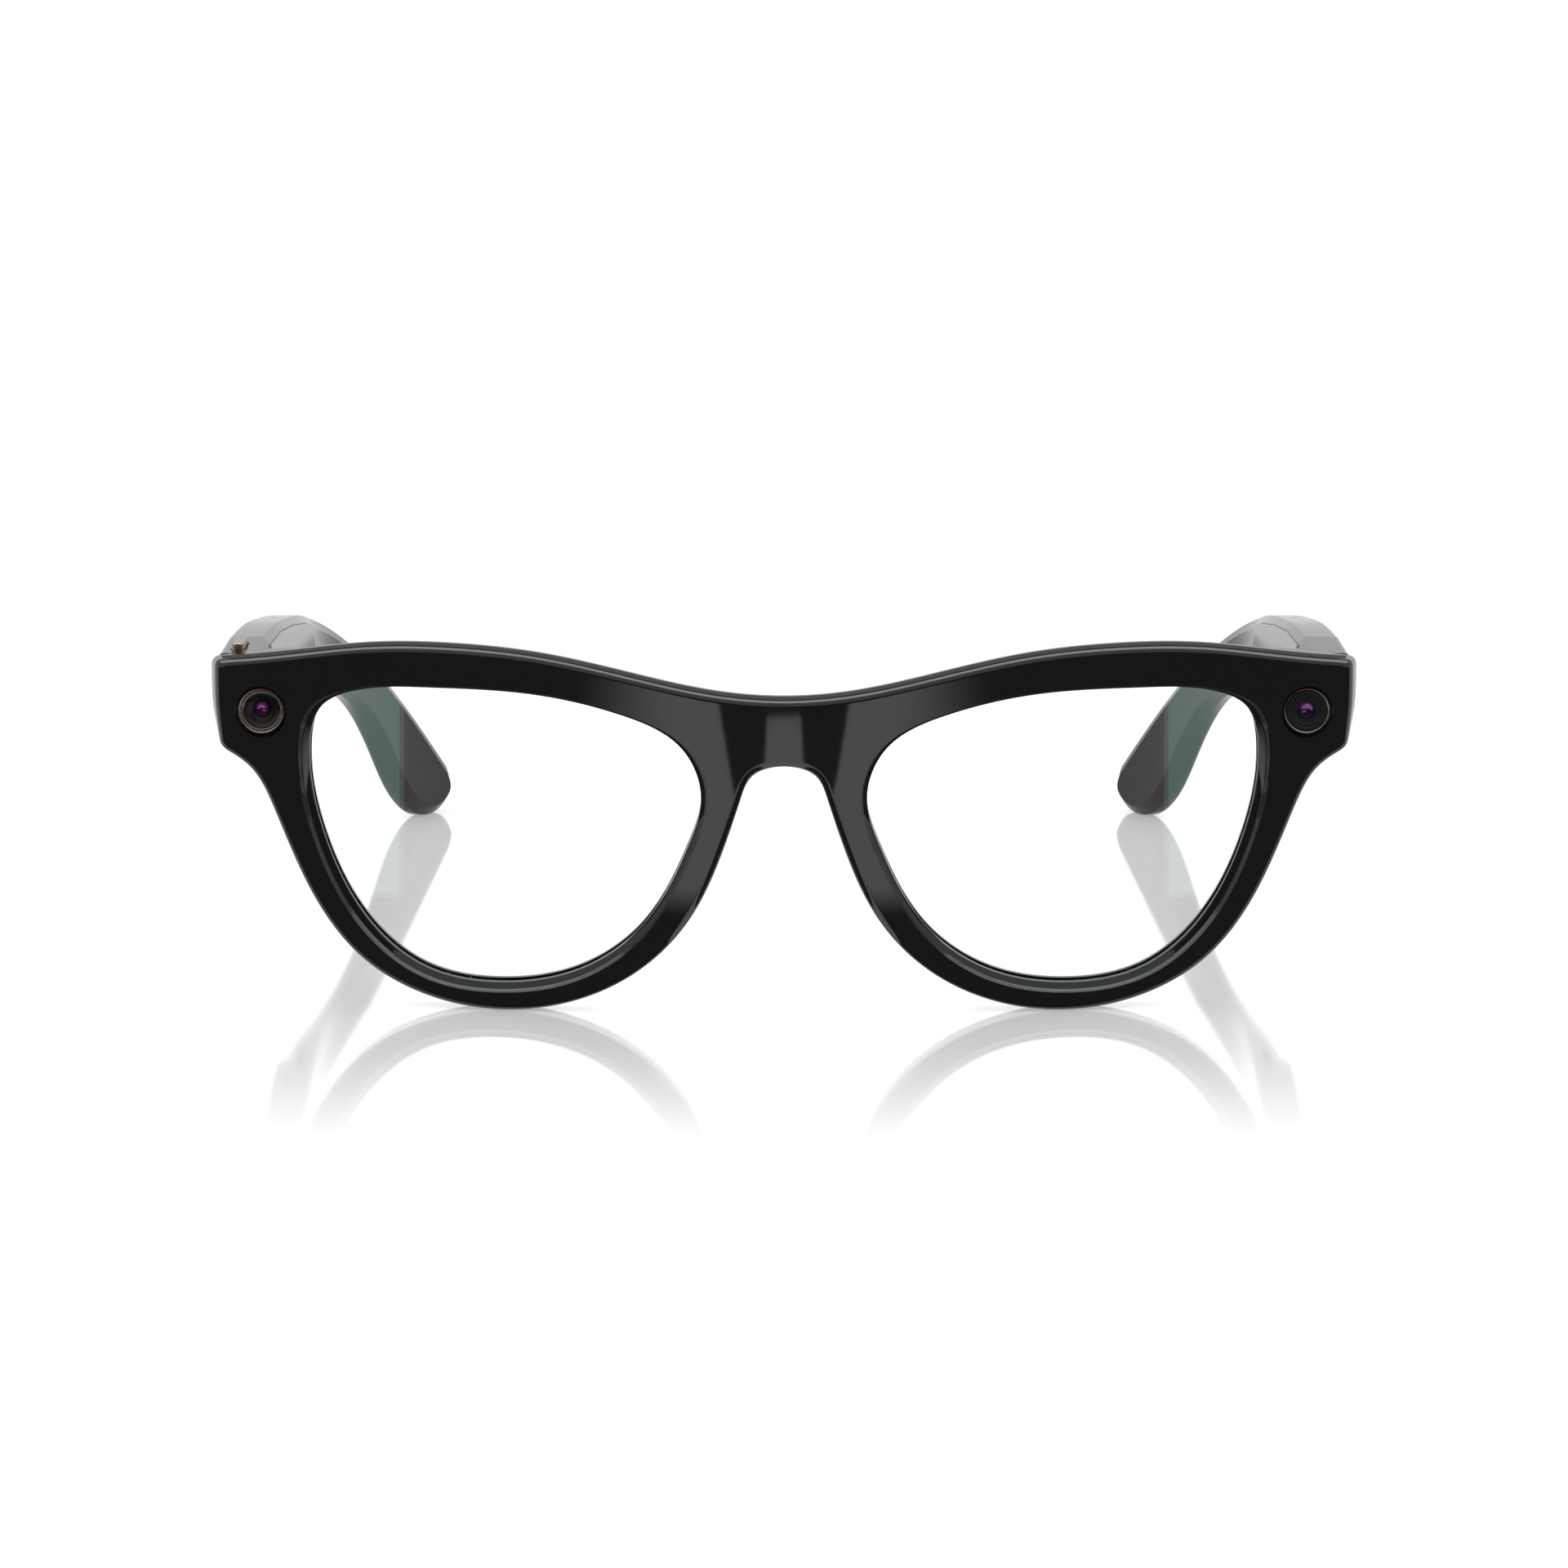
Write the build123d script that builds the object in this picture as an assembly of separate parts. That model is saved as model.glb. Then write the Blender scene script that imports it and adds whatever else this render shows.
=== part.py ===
from build123d import *
import os

os.makedirs("parts", exist_ok=True)

# Smart glasses, open, standing on the two rims and the two temple tips.
# Frame: X across the face (+X is the wearer's left), front faces -Y, Z up, floor at Z = 0.
# Units are millimetres. Most shapes are made for the +X side and mirrored.

# ---------------------------------------------------------------- driving dimensions
FRONT_Y = -76.0          # front of the bridge
REST_Y = -73.4           # plane where the rims touch the floor; depths below are measured from it
WRAP_RADIUS = 280.0      # face curve of the front, seen from above
FRONT_THICK = 5.0        # front to back of the rims
FRONT_ROUND = 1.1        # rounding of the front's outer edge
ENDPIECE_BACK = -61.4    # back face of both end pieces

LENS_FRONT = 1.8         # depth of the lens behind the front face
LENS_THICK = 1.8
LENS_BITE = 0.75         # how far the lens edge sits in its groove
GROOVE_CLEAR = 0.05

MODULE_X = 67.7          # centre of each camera-like module
MODULE_Z = 38.3
RECESS_RADIUS = 3.35
RECESS_FLOOR = -66.6
BEZEL_RADIUS = 3.0
BARREL_RADIUS = 2.3

HINGE_X = 66.3           # fold axis
HINGE_Y = -59.95
KNUCKLE_RADIUS = 1.3
PIN_RADIUS = 0.55
PIN_CLEAR = 0.03
KNUCKLE_HEIGHT = 1.6
KNUCKLE_LOW = 35.0
KNUCKLE_GAP = 0.06
LEAF_THICK = 1.0

TEMPLE_GAP = 0.3         # gap between the end piece and the temple
TEMPLE_INNER = 68.0
TEMPLE_OUTER = 73.8
COVER_THICK = 1.0
CAVITY_OUTER = 72.5
CAVITY_START = 27.0      # depths behind REST_Y
CAVITY_END = 100.0

BUTTON_START = 14.6      # capture button, on top of the right temple
BUTTON_LENGTH = 7.4
BUTTON_WIDTH = 1.7
BUTTON_X = 71.4
BUTTON_TRAVEL = 0.4
SLIDER_START = 34.0      # power slider, inside the left temple
SLIDER_LENGTH = 5.0
SLIDER_TRAVEL = 2.0


# ---------------------------------------------------------------- helpers
def put(shape, name):
    """Write one named piece."""
    export_step(shape, f"parts/{name}.step")


def block(x0, x1, y0, y1, z0, z1):
    """Box between two corners."""
    centre = Location(((x0 + x1) / 2, (y0 + y1) / 2, (z0 + z1) / 2))
    return centre * Box(x1 - x0, y1 - y0, z1 - z0)


def deep(depth):
    """World Y of a depth behind the plane where the rims rest."""
    return REST_Y + depth


def rod_x(x0, x1, y, z, radius):
    """Round bar along X."""
    return Location(((x0 + x1) / 2, y, z), (0, 90, 0)) * Cylinder(radius, x1 - x0)


def rod_y(x, y0, y1, z, radius):
    """Round bar along Y."""
    return Location((x, (y0 + y1) / 2, z), (90, 0, 0)) * Cylinder(radius, y1 - y0)


def rod_z(x, y, z0, z1, radius):
    """Round bar along Z."""
    return Location((x, y, (z0 + z1) / 2)) * Cylinder(radius, z1 - z0)


def other_side(shape):
    """The same piece on the wearer's right."""
    return mirror(shape, about=Plane.YZ)


def same_side(shape):
    """The same piece, left where it was made, on the wearer's left."""
    return shape


SIDES = (("left", same_side), ("right", other_side))


def wrap_slab(near, far):
    """Curved slab that follows the face, from depth near to depth far behind the front."""
    centre = Location((0, FRONT_Y + WRAP_RADIUS, 25))
    outer = centre * Cylinder(WRAP_RADIUS - near, 80)
    inner = centre * Cylinder(WRAP_RADIUS - far, 90)
    return outer - inner


def push_y(sketch, y0, y1):
    """Extrude a face drawn in X and Z from y0 to y1."""
    return Location((0, y0, 0)) * extrude(sketch, y1 - y0, dir=(0, 1, 0))


def xz(points):
    """Points given as X and Z, in the plane of the front."""
    return [(x, 0, z) for x, z in points]


def screw_x(x_head, length, y, z):
    """Small countersunk screw whose flat head faces the wearer's head."""
    shank = rod_x(x_head, x_head + length, y, z, 0.42)
    head = Location((x_head + 0.2, y, z), (0, 90, 0)) * Cone(0.85, 0.42, 0.4)
    slot = block(x_head - 0.1, x_head + 0.15, y - 1, y + 1, z - 0.1, z + 0.1)
    return shank + head - slot


def screw_hole_x(x_head, length, y, z):
    """Hole for screw_x with a little room round it."""
    shank = rod_x(x_head - 0.1, x_head + length + 0.2, y, z, 0.45)
    head = Location((x_head + 0.2, y, z), (0, 90, 0)) * Cone(0.88, 0.45, 0.42)
    return shank + head


# ---------------------------------------------------------------- outlines of the front
BROW = [(0, 41.1), (9, 41.8), (20, 44.1), (31, 46.4), (43, 47.5), (54, 47.3), (64, 46.0), (73.4, 44.9)]
END_SIDE = [(74.6, 43.6), (74.5, 38.5), (73.8, 34.2)]
LOWER_RIM = [
    (72.4, 33.0), (69.4, 31.0), (66.4, 26.0), (61.3, 14.6), (54.9, 6.4), (46.4, 1.7),
    (36.5, 0.05), (27.2, 1.4), (18.8, 5.5), (12.4, 12.0), (8.2, 20.4), (5.6, 28.0),
]
AT_TOP_CORNER = (1, 0, -0.08)    # directions of the outline where two of its edges meet
AT_LOW_CORNER = (-0.2, 0, -1)
DOWN = (0, 0, -1)
brow = Spline(*xz(BROW), tangents=[(1, 0, 0), AT_TOP_CORNER])
top_corner = Spline(*xz([BROW[-1], (74.3, 44.5), END_SIDE[0]]), tangents=[AT_TOP_CORNER, DOWN])
end_side = Spline(*xz(END_SIDE), tangents=[DOWN, AT_LOW_CORNER])
lower_rim = Spline(*xz(LOWER_RIM))
end_corner = Spline(*xz([END_SIDE[-1], (73.2, 33.4), LOWER_RIM[0]]), tangents=[AT_LOW_CORNER, lower_rim % 0])
arch = Spline(*xz([LOWER_RIM[-1], (4.2, 31.0), (0, 32.4)]), tangents=[lower_rim % 1, (-1, 0, 0)])
half_outline = [brow, top_corner, end_side, end_corner, lower_rim, arch]
front_face = make_face(half_outline + [mirror(edge, about=Plane.YZ) for edge in half_outline])

LENS_CENTRE_X = 36.0
LENS_CENTRE_Z = 23.0
OPENING = [
    (46.0, 42.2), (33.3, 41.7), (20.7, 39.0), (13.2, 34.8), (10.7, 28.3), (12.4, 21.9), (18.7, 11.0), (26.5, 5.6),
    (36.5, 3.7), (46.4, 5.4), (54.8, 12.6), (59.6, 22.5), (61.4, 32.9), (59.7, 39.3), (54.5, 41.7),
]
opening_edge = Spline(*xz(OPENING), periodic=True)
opening_face = make_face([opening_edge])


def grown_opening(amount):
    """Lens opening with its edge moved out by amount."""
    grown = []
    for x, z in OPENING:
        along = opening_edge % opening_edge.param_at_point(Vector(x, 0, z))
        out = along.cross(Vector(0, 1, 0))
        if out.dot(Vector(x - LENS_CENTRE_X, 0, z - LENS_CENTRE_Z)) < 0:
            out = -out
        grown.append((x + amount * out.X, z + amount * out.Z))
    return make_face([Spline(*xz(grown), periodic=True)])


# ---------------------------------------------------------------- front frame
BROW_LINE = [(68.5, 42.9), (64, 43.9), (56, 44.7), (45, 44.9), (33, 44.2), (20, 41.5), (10, 38.2), (0, 36.8)]
BROW_DEPTH = 2.3         # depth of the brow channel's floor behind the front face
LEAF_LOW = KNUCKLE_LOW
LEAF_HIGH = KNUCKLE_LOW + 5 * KNUCKLE_HEIGHT
LEAF_X = HINGE_X - 1.1   # inner face of the front leaf


def on_front_face(edge):
    """True for an edge that lies on the front face of the rims."""
    spot = edge @ 0.5
    from_axis = (spot.X**2 + (spot.Y - FRONT_Y - WRAP_RADIUS) ** 2) ** 0.5
    return abs(from_axis - WRAP_RADIUS) < 0.02


def brow_band(half_height):
    """Band that follows the brow from one end piece to the other."""
    line = BROW_LINE[:-1] + [(-x, z) for x, z in reversed(BROW_LINE)]
    high = Spline(*xz([(x, z + half_height) for x, z in line]))
    low = Spline(*xz([(x, z - half_height) for x, z in line]))
    ends = [Line(high @ 0, low @ 0), Line(high @ 1, low @ 1)]
    return push_y(make_face([high, low, *ends]), -80, -55)


def both_sides(shape):
    """A shape and the same shape on the other side."""
    return [shape, other_side(shape)]


# rims, end pieces and nose pads
front_frame = push_y(front_face, -80, -55) & wrap_slab(0, FRONT_THICK)
front_frame = fillet([e for e in front_frame.edges() if on_front_face(e)], FRONT_ROUND)
end_block = push_y(front_face, -75, ENDPIECE_BACK) & wrap_slab(3, 20) & block(64.0, 75, -75, -60, 31.0, 47.0)
nose_pad = scale(Sphere(1), by=(1.8, 6.2, 8.0))
nose_pad = Location((10.8, -71.5, 19.5), (0, -23.5, 0)) * nose_pad
nose_pad = nose_pad & block(0, 20, -73.0, -60, 5, 35)
for piece in both_sides(end_block) + both_sides(nose_pad):
    front_frame = front_frame + piece
front_frame = front_frame & block(-80, 80, -80, ENDPIECE_BACK, -5, 60)

# the side of each end piece flares towards the back
side_cut = Polyline(
    (74.6, ENDPIECE_BACK), (73.5, -66.6), (73.5, -72), (80, -72), (80, ENDPIECE_BACK), close=True
)
cuts = [Location((0, 0, 25)) * extrude(make_face(side_cut), 30)]

# lens opening and groove
cuts.append(push_y(opening_face, -80, -60))
groove = push_y(grown_opening(LENS_BITE + GROOVE_CLEAR), -80, -60)
cuts.append(groove & wrap_slab(LENS_FRONT - GROOVE_CLEAR, LENS_FRONT + LENS_THICK + GROOVE_CLEAR))

# recess, bore and pocket for the module, and the seat of the plate behind it
PLATE_SCREWS = [(72.4, 35.7), (72.4, 42.8)]
cuts.append(rod_y(MODULE_X, -72, RECESS_FLOOR, MODULE_Z, RECESS_RADIUS))
cuts.append(rod_y(MODULE_X, RECESS_FLOOR - 1, -64.0, MODULE_Z, BARREL_RADIUS + 0.05))
cuts.append(block(66.8, 71.6, -64.4, -62.0, 35.4, 42.6))
cuts.append(block(66.7, 73.2, -62.4, -61.0, 34.6, 43.9))
for plate_x, plate_z in PLATE_SCREWS:
    cuts.append(rod_y(plate_x, -64.9, -62.0, plate_z, 0.45))

# slot for the hinge leaf
cuts.append(block(LEAF_X - 0.03, LEAF_X + LEAF_THICK + 0.03, -64.25, -61.0, LEAF_LOW, LEAF_HIGH))
for cut in cuts:
    for piece in both_sides(cut):
        front_frame = front_frame - piece

# brow channel, open at the back where its strips close it
front_frame = front_frame - (brow_band(0.9) & wrap_slab(BROW_DEPTH, FRONT_THICK + 0.5))

# bridge: pocket for the charging contacts, with a sound hole under the arch
front_frame = front_frame - block(-6, 6, -73.6, -70, 34.4, 39.2)
front_frame = front_frame - rod_z(0, -72.8, 31, 35, 0.4)
put(front_frame, "front_frame")

# ---------------------------------------------------------------- lenses
lens = push_y(grown_opening(LENS_BITE), -80, -60) & wrap_slab(LENS_FRONT, LENS_FRONT + LENS_THICK)
put(lens, "lens_left")
put(other_side(lens), "lens_right")

# ---------------------------------------------------------------- brow circuit and its cover strips
put(brow_band(0.7) & wrap_slab(BROW_DEPTH + 0.2, BROW_DEPTH + 0.45), "brow_flex")
strip = brow_band(0.85) & wrap_slab(FRONT_THICK - 1.0, FRONT_THICK) & block(6.1, 63.6, -80, -55, 30, 50)
put(strip, "brow_strip_left")
put(other_side(strip), "brow_strip_right")

# ---------------------------------------------------------------- charging contacts and microphone in the bridge
contact_block = block(-5.9, 5.9, -72.3, -70.8, 34.5, 39.1)
contacts = []
for contact_x in (-3.4, 0, 3.4):
    contact_block = contact_block - rod_y(contact_x, -73, -70, 36.8, 0.92)
    contacts.append(rod_y(contact_x, -72.2, -70.65, 36.8, 0.9))
put(contact_block, "contact_block")
put(Compound(contacts), "charging_contacts")
put(block(-1.5, 1.5, -73.15, -72.4, 35.2, 38.2), "bridge_microphone")

# ---------------------------------------------------------------- camera, in the wearer's right end piece
bezel = rod_y(MODULE_X, -67.0, RECESS_FLOOR, MODULE_Z, BEZEL_RADIUS)
bezel = fillet(bezel.edges().filter_by(GeomType.CIRCLE).sort_by(Axis.Y)[0], 0.25)
bezel = bezel - rod_y(MODULE_X, -68, -66, MODULE_Z, BARREL_RADIUS + 0.02)
barrel = rod_y(MODULE_X, -66.9, -64.45, MODULE_Z, BARREL_RADIUS)
cone = Location((MODULE_X, -66.3, MODULE_Z), (90, 0, 0)) * Cone(1.1, 2.0, 1.4)
barrel = barrel - cone - rod_y(MODULE_X, -66, -64, MODULE_Z, 1.02)
dome = Location((MODULE_X, -64.75, MODULE_Z)) * Sphere(1.3)
dome = (dome & rod_y(MODULE_X, -67, -65.4, MODULE_Z, 1.0)) + rod_y(MODULE_X, -65.4, -64.6, MODULE_Z, 1.0)
board = block(67.0, 71.4, -64.3, -63.7, 35.6, 42.4)
put(other_side(bezel), "camera_bezel")
put(other_side(barrel), "camera_barrel")
put(other_side(dome), "camera_lens")
put(other_side(board), "camera_board")

# ---------------------------------------------------------------- indicator, in the wearer's left end piece
ring = rod_y(MODULE_X, -67.0, RECESS_FLOOR, MODULE_Z, BEZEL_RADIUS)
ring = ring - rod_y(MODULE_X, -68, -66, MODULE_Z, BEZEL_RADIUS - 0.3)
disc = rod_y(MODULE_X, -66.9, RECESS_FLOOR, MODULE_Z, BEZEL_RADIUS - 0.32)
disc = disc + rod_y(MODULE_X, RECESS_FLOOR, -64.45, MODULE_Z, BARREL_RADIUS)
for step_radius, step_floor in ((2.1, -66.7), (1.6, -66.5)):
    disc = disc - rod_y(MODULE_X, -68, step_floor, MODULE_Z, step_radius)
disc = disc - rod_y(MODULE_X, -68, -64, MODULE_Z, 1.12)
light_lens = Location((MODULE_X, -65.4, MODULE_Z)) * Sphere(1.4)
light_lens = light_lens & rod_y(MODULE_X, -68, -66.0, MODULE_Z, 1.1)
light_lens = light_lens + rod_y(MODULE_X, -66.0, -64.6, MODULE_Z, 1.1)
put(ring, "indicator_bezel")
put(disc, "indicator_disc")
put(light_lens, "indicator_lens")
put(board, "indicator_board")

# ---------------------------------------------------------------- plates behind the modules
plate = block(66.75, 73.15, -62.38, ENDPIECE_BACK - 0.02, 34.65, 43.85)
screws = []
for plate_x, plate_z in PLATE_SCREWS:
    head = Location((plate_x, -61.62, plate_z), (-90, 0, 0)) * Cone(0.42, 0.7, 0.4)
    screw = rod_y(plate_x, -64.8, -61.6, plate_z, 0.42) + head
    slot = block(plate_x - 0.8, plate_x + 0.8, -61.57, -61.3, plate_z - 0.1, plate_z + 0.1)
    seat = Location((plate_x, -61.6, plate_z), (-90, 0, 0)) * Cone(0.45, 0.76, 0.42)
    plate = plate - seat - rod_y(plate_x, -63, -61.3, plate_z, 0.45)
    screws.append(screw - slot)
put(plate, "endpiece_plate_left")
put(other_side(plate), "endpiece_plate_right")
put(Compound(screws + [other_side(screw) for screw in screws]), "endpiece_screws")


# ---------------------------------------------------------------- hinges
def knuckle(level):
    """One barrel of the hinge, counted from below."""
    low = KNUCKLE_LOW + level * KNUCKLE_HEIGHT + KNUCKLE_GAP / 2
    return low, low + KNUCKLE_HEIGHT - KNUCKLE_GAP


front_leaf = block(LEAF_X, LEAF_X + LEAF_THICK, -64.2, HINGE_Y - 1.55, LEAF_LOW + 0.05, LEAF_HIGH - 0.05)
for level in (1, 3):
    low, high = knuckle(level)
    front_leaf = front_leaf + rod_z(HINGE_X, HINGE_Y, low, high, KNUCKLE_RADIUS)
    front_leaf = front_leaf + block(LEAF_X, LEAF_X + LEAF_THICK, HINGE_Y - 1.6, HINGE_Y, low, high)

LEAF_SCREWS = [(18.4, 36.9), (23.2, 39.4)]
temple_leaf = block(
    TEMPLE_INNER - LEAF_THICK, TEMPLE_INNER, deep(14.9), deep(25.4), LEAF_LOW + 0.05, LEAF_HIGH - 0.05
)
temple_leaf = fillet(temple_leaf.edges().filter_by(Axis.X).sort_by(Axis.Y)[-2:], 1.5)
for level in (0, 2, 4):
    low, high = knuckle(level)
    temple_leaf = temple_leaf + rod_z(HINGE_X, HINGE_Y, low, high, KNUCKLE_RADIUS)
    temple_leaf = temple_leaf + block(HINGE_X + 0.3, HINGE_X + 1.3, HINGE_Y, HINGE_Y + 1.8, low, high)
leaf_screws = []
for depth, screw_z in LEAF_SCREWS:
    temple_leaf = temple_leaf - screw_hole_x(TEMPLE_INNER - LEAF_THICK, 3.3, deep(depth), screw_z)
    leaf_screws.append(screw_x(TEMPLE_INNER - LEAF_THICK, 3.2, deep(depth), screw_z))

pin_hole = rod_z(HINGE_X, HINGE_Y, LEAF_LOW - 1, LEAF_HIGH + 1, PIN_RADIUS + PIN_CLEAR)
front_leaf = front_leaf - pin_hole
temple_leaf = temple_leaf - pin_hole
pin = rod_z(HINGE_X, HINGE_Y, LEAF_LOW - 0.1, LEAF_HIGH + 0.1, PIN_RADIUS)
pin_head = rod_z(HINGE_X, HINGE_Y, LEAF_HIGH + 0.1, LEAF_HIGH + 0.6, 1.0)
pin_slot = block(HINGE_X - 1, HINGE_X + 1, HINGE_Y - 0.12, HINGE_Y + 0.12, LEAF_HIGH + 0.4, LEAF_HIGH + 1)
pin = pin + pin_head - pin_slot
for side, turn in SIDES:
    put(turn(front_leaf), f"hinge_front_{side}")
    put(turn(temple_leaf), f"hinge_temple_{side}")
    put(turn(pin), f"hinge_pin_{side}")
    put(Compound([turn(screw) for screw in leaf_screws]), f"hinge_screws_{side}")

# ---------------------------------------------------------------- temples
# side view: depth behind the rims, height above the floor
TOP_EDGE = [
    (27, 45.0), (46.5, 43.9), (67, 41.7), (89, 38.8), (105, 35.9), (116, 33.0), (127, 27.6), (139, 17.9), (148.7, 6.5),
]
LOW_EDGE = [
    (148.7, 6.5), (149.2, 3.0), (147.0, 0.5), (143.2, 0.05), (139.4, 2.4), (132.6, 11.9),
    (126.5, 18.6), (118, 22.6), (103, 24.6), (88, 26.6), (63, 30.7), (30, 33.0),
]
FRONT_END = 12.3


def yz(points):
    """Points given as depth and height, in the plane of a temple."""
    return [(0, deep(depth), z) for depth, z in points]


top_edge = Spline(*yz(TOP_EDGE))
low_edge = Spline(*yz(LOW_EDGE))
front_end = Polyline(*yz([(30, 33.0), (FRONT_END, 33.2), (FRONT_END, 45.0), (27, 45.0)]))
side_view = make_face([top_edge, low_edge, *front_end.edges()])

# plan view: distance from the middle, depth behind the rims
OUTER_EDGE = [(TEMPLE_OUTER, 78), (73.5, 90), (72.4, 102), (69.8, 116), (66.0, 127), (60.3, 139), (53.6, 150)]
INNER_EDGE = [(49.8, 150), (56.6, 139), (62.3, 127), (66.1, 116), (TEMPLE_INNER, 100)]
outer_edge = Spline(*[(x, deep(d)) for x, d in OUTER_EDGE])
inner_edge = Spline(*[(x, deep(d)) for x, d in INNER_EDGE])
plan_front = Polyline(
    (TEMPLE_INNER, deep(100)),
    (TEMPLE_INNER, deep(FRONT_END)),
    (TEMPLE_OUTER, deep(FRONT_END)),
    (TEMPLE_OUTER, deep(78)),
)
plan_back = Line((53.6, deep(150)), (49.8, deep(150)))
plan_view = make_face([outer_edge, plan_back, inner_edge, *plan_front.edges()])
temple_body = extrude(plan_view, 50) & Location((45, 0, 0)) * extrude(side_view, 40, dir=(1, 0, 0))

# space inside, and the seat of the cover that closes it
CAVITY = [
    (27, 43.4), (46.5, 42.4), (67, 40.2), (89, 37.2), (99, 35.4),
    (99, 26.8), (88, 28.2), (63, 32.2), (46, 33.9), (27, 34.4),
]
cavity_face = make_face(Polyline(*yz(CAVITY), close=True))
seat_face = offset(cavity_face, 0.5)
cover_face = offset(cavity_face, 0.45)


def push_x(face, x0, x1):
    """Extrude a face drawn in Y and Z from x0 to x1."""
    return Location((x0, 0, 0)) * extrude(face, x1 - x0, dir=(1, 0, 0))


MIDLINE = [(27, 38.9), (46.5, 38.15), (67, 36.0), (89, 32.6), (99, 31.1)]


def mid_height(depth):
    """Height of the middle of the space inside a temple."""
    for (d0, z0), (d1, z1) in zip(MIDLINE, MIDLINE[1:]):
        if depth <= d1:
            return z0 + (z1 - z0) * (depth - d0) / (d1 - d0)
    return MIDLINE[-1][1]


def strip_inside(x0, x1, start, end, height, lift=0.0):
    """Flat piece that lies along the middle of the space inside a temple."""
    z0 = mid_height(start) + lift
    z1 = mid_height(end) + lift
    half = height / 2
    corners = [(start, z0 - half), (start, z0 + half), (end, z1 + half), (end, z1 - half)]
    return push_x(make_face(Polyline(*yz(corners), close=True)), x0, x1)


COVER_SCREWS = (30.0, 71.8, 97.4)
MIC_TOP = 66.0
MIC_LOW = 80.0
MIC_X = 71.0
PORT_START = 86.0
PORT_END = 94.0

cavity = push_x(cavity_face, TEMPLE_INNER - 1, CAVITY_OUTER) & block(60, 80, deep(0), deep(82), 0, 50)
cavity = cavity + (push_x(cavity_face, TEMPLE_INNER - 1, 71.1) & block(60, 80, deep(81), deep(110), 0, 50))
shell = temple_body - push_x(seat_face, TEMPLE_INNER - 1, TEMPLE_INNER + COVER_THICK) - cavity
cover = push_x(cover_face, TEMPLE_INNER, TEMPLE_INNER + COVER_THICK - 0.02)
cover_screws = []
for depth in COVER_SCREWS:
    z = mid_height(depth)
    boss = rod_x(TEMPLE_INNER + COVER_THICK, CAVITY_OUTER + 0.2, deep(depth), z, 1.3)
    shell = shell + boss - rod_x(TEMPLE_INNER, 71.2, deep(depth), z, 0.45)
    cover = cover - screw_hole_x(TEMPLE_INNER, 3.0, deep(depth), z)
    cover_screws.append(screw_x(TEMPLE_INNER, 2.8, deep(depth), z))
for depth, screw_z in LEAF_SCREWS:
    shell = shell - rod_x(TEMPLE_INNER - 1, 70.6, deep(depth), screw_z, 0.45)

# sound holes and speaker port
shell = shell - rod_z(MIC_X, deep(MIC_TOP), 38, 46, 0.7) - rod_z(MIC_X, deep(MIC_LOW), 22, 30, 0.6)
shell = shell - block(69.5, 70.7, deep(PORT_START), deep(PORT_END), 22, 30)

# capture button's well, on the right temple only
WELL_FLOOR = 41.0
WELL_ROOF = 44.0
button_x0 = BUTTON_X - BUTTON_WIDTH / 2
button_x1 = BUTTON_X + BUTTON_WIDTH / 2
button_y0 = deep(BUTTON_START)
button_y1 = deep(BUTTON_START + BUTTON_LENGTH)
well = block(70.0, 72.8, button_y0 - 0.9, button_y1 + 0.9, WELL_FLOOR, WELL_ROOF)
well = well + block(70.4, 72.4, button_y1, deep(28), WELL_FLOOR, WELL_FLOOR + 1.6)
well_mouth = block(button_x0 - 0.15, button_x1 + 0.15, button_y0 - 0.15, button_y1 + 0.15, 43, 47)
well_mouth = fillet(well_mouth.edges().filter_by(Axis.Z), 0.9)
shell_right = shell - well - well_mouth

button = block(button_x0, button_x1, button_y0, button_y1, 43.9, 45.95)
button = fillet(button.edges().filter_by(Axis.Z), 0.8)
button = fillet(button.edges().sort_by(Axis.Z)[-8:], 0.2)
button = button + block(button_x0 - 0.4, button_x1 + 0.4, button_y0 - 0.5, button_y1 + 0.5, 43.55, 43.95)
button_switch = block(70.2, 72.6, deep(15.6), deep(21.0), WELL_FLOOR, 42.7)
button_switch = button_switch + rod_z(BUTTON_X, deep(18.3), 42.7, 43.05, 0.7)

# power slider, in the left temple's cover
slider_z = mid_height(SLIDER_START + 3.5)
slider_y0 = deep(SLIDER_START)
slider_y1 = slider_y0 + SLIDER_LENGTH
slot_y1 = slider_y1 + SLIDER_TRAVEL + 0.15
slider_slot = block(66, 70, slider_y0 - 0.15, slot_y1, slider_z - 1.15, slider_z + 1.15)
slider_slot = fillet(slider_slot.edges().filter_by(Axis.X), 1.0)
cover_left = cover - slider_slot
slider = block(67.3, 69.15, slider_y0, slider_y1, slider_z - 1.0, slider_z + 1.0)
slider = fillet(slider.edges().filter_by(Axis.X), 0.9)
for rib in range(3):
    rib_y = slider_y0 + 1.5 + rib
    slider = slider - block(67.2, 67.5, rib_y - 0.2, rib_y + 0.2, slider_z - 2, slider_z + 2)
slider = slider + block(69.1, 69.5, slider_y0 - 0.8, slider_y1 + 0.8, slider_z - 1.7, slider_z + 1.7)
switch_body = block(69.7, 71.9, slider_y0 - 0.8, slider_y1 + 2.8, slider_z - 2.0, slider_z + 2.0)

put(shell, "temple_shell_left")
put(other_side(shell_right), "temple_shell_right")
put(cover_left, "temple_cover_left")
put(other_side(cover), "temple_cover_right")
put(other_side(button), "capture_button")
put(other_side(button_switch), "button_switch")
put(slider, "power_slider")
put(switch_body, "power_switch")

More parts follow.
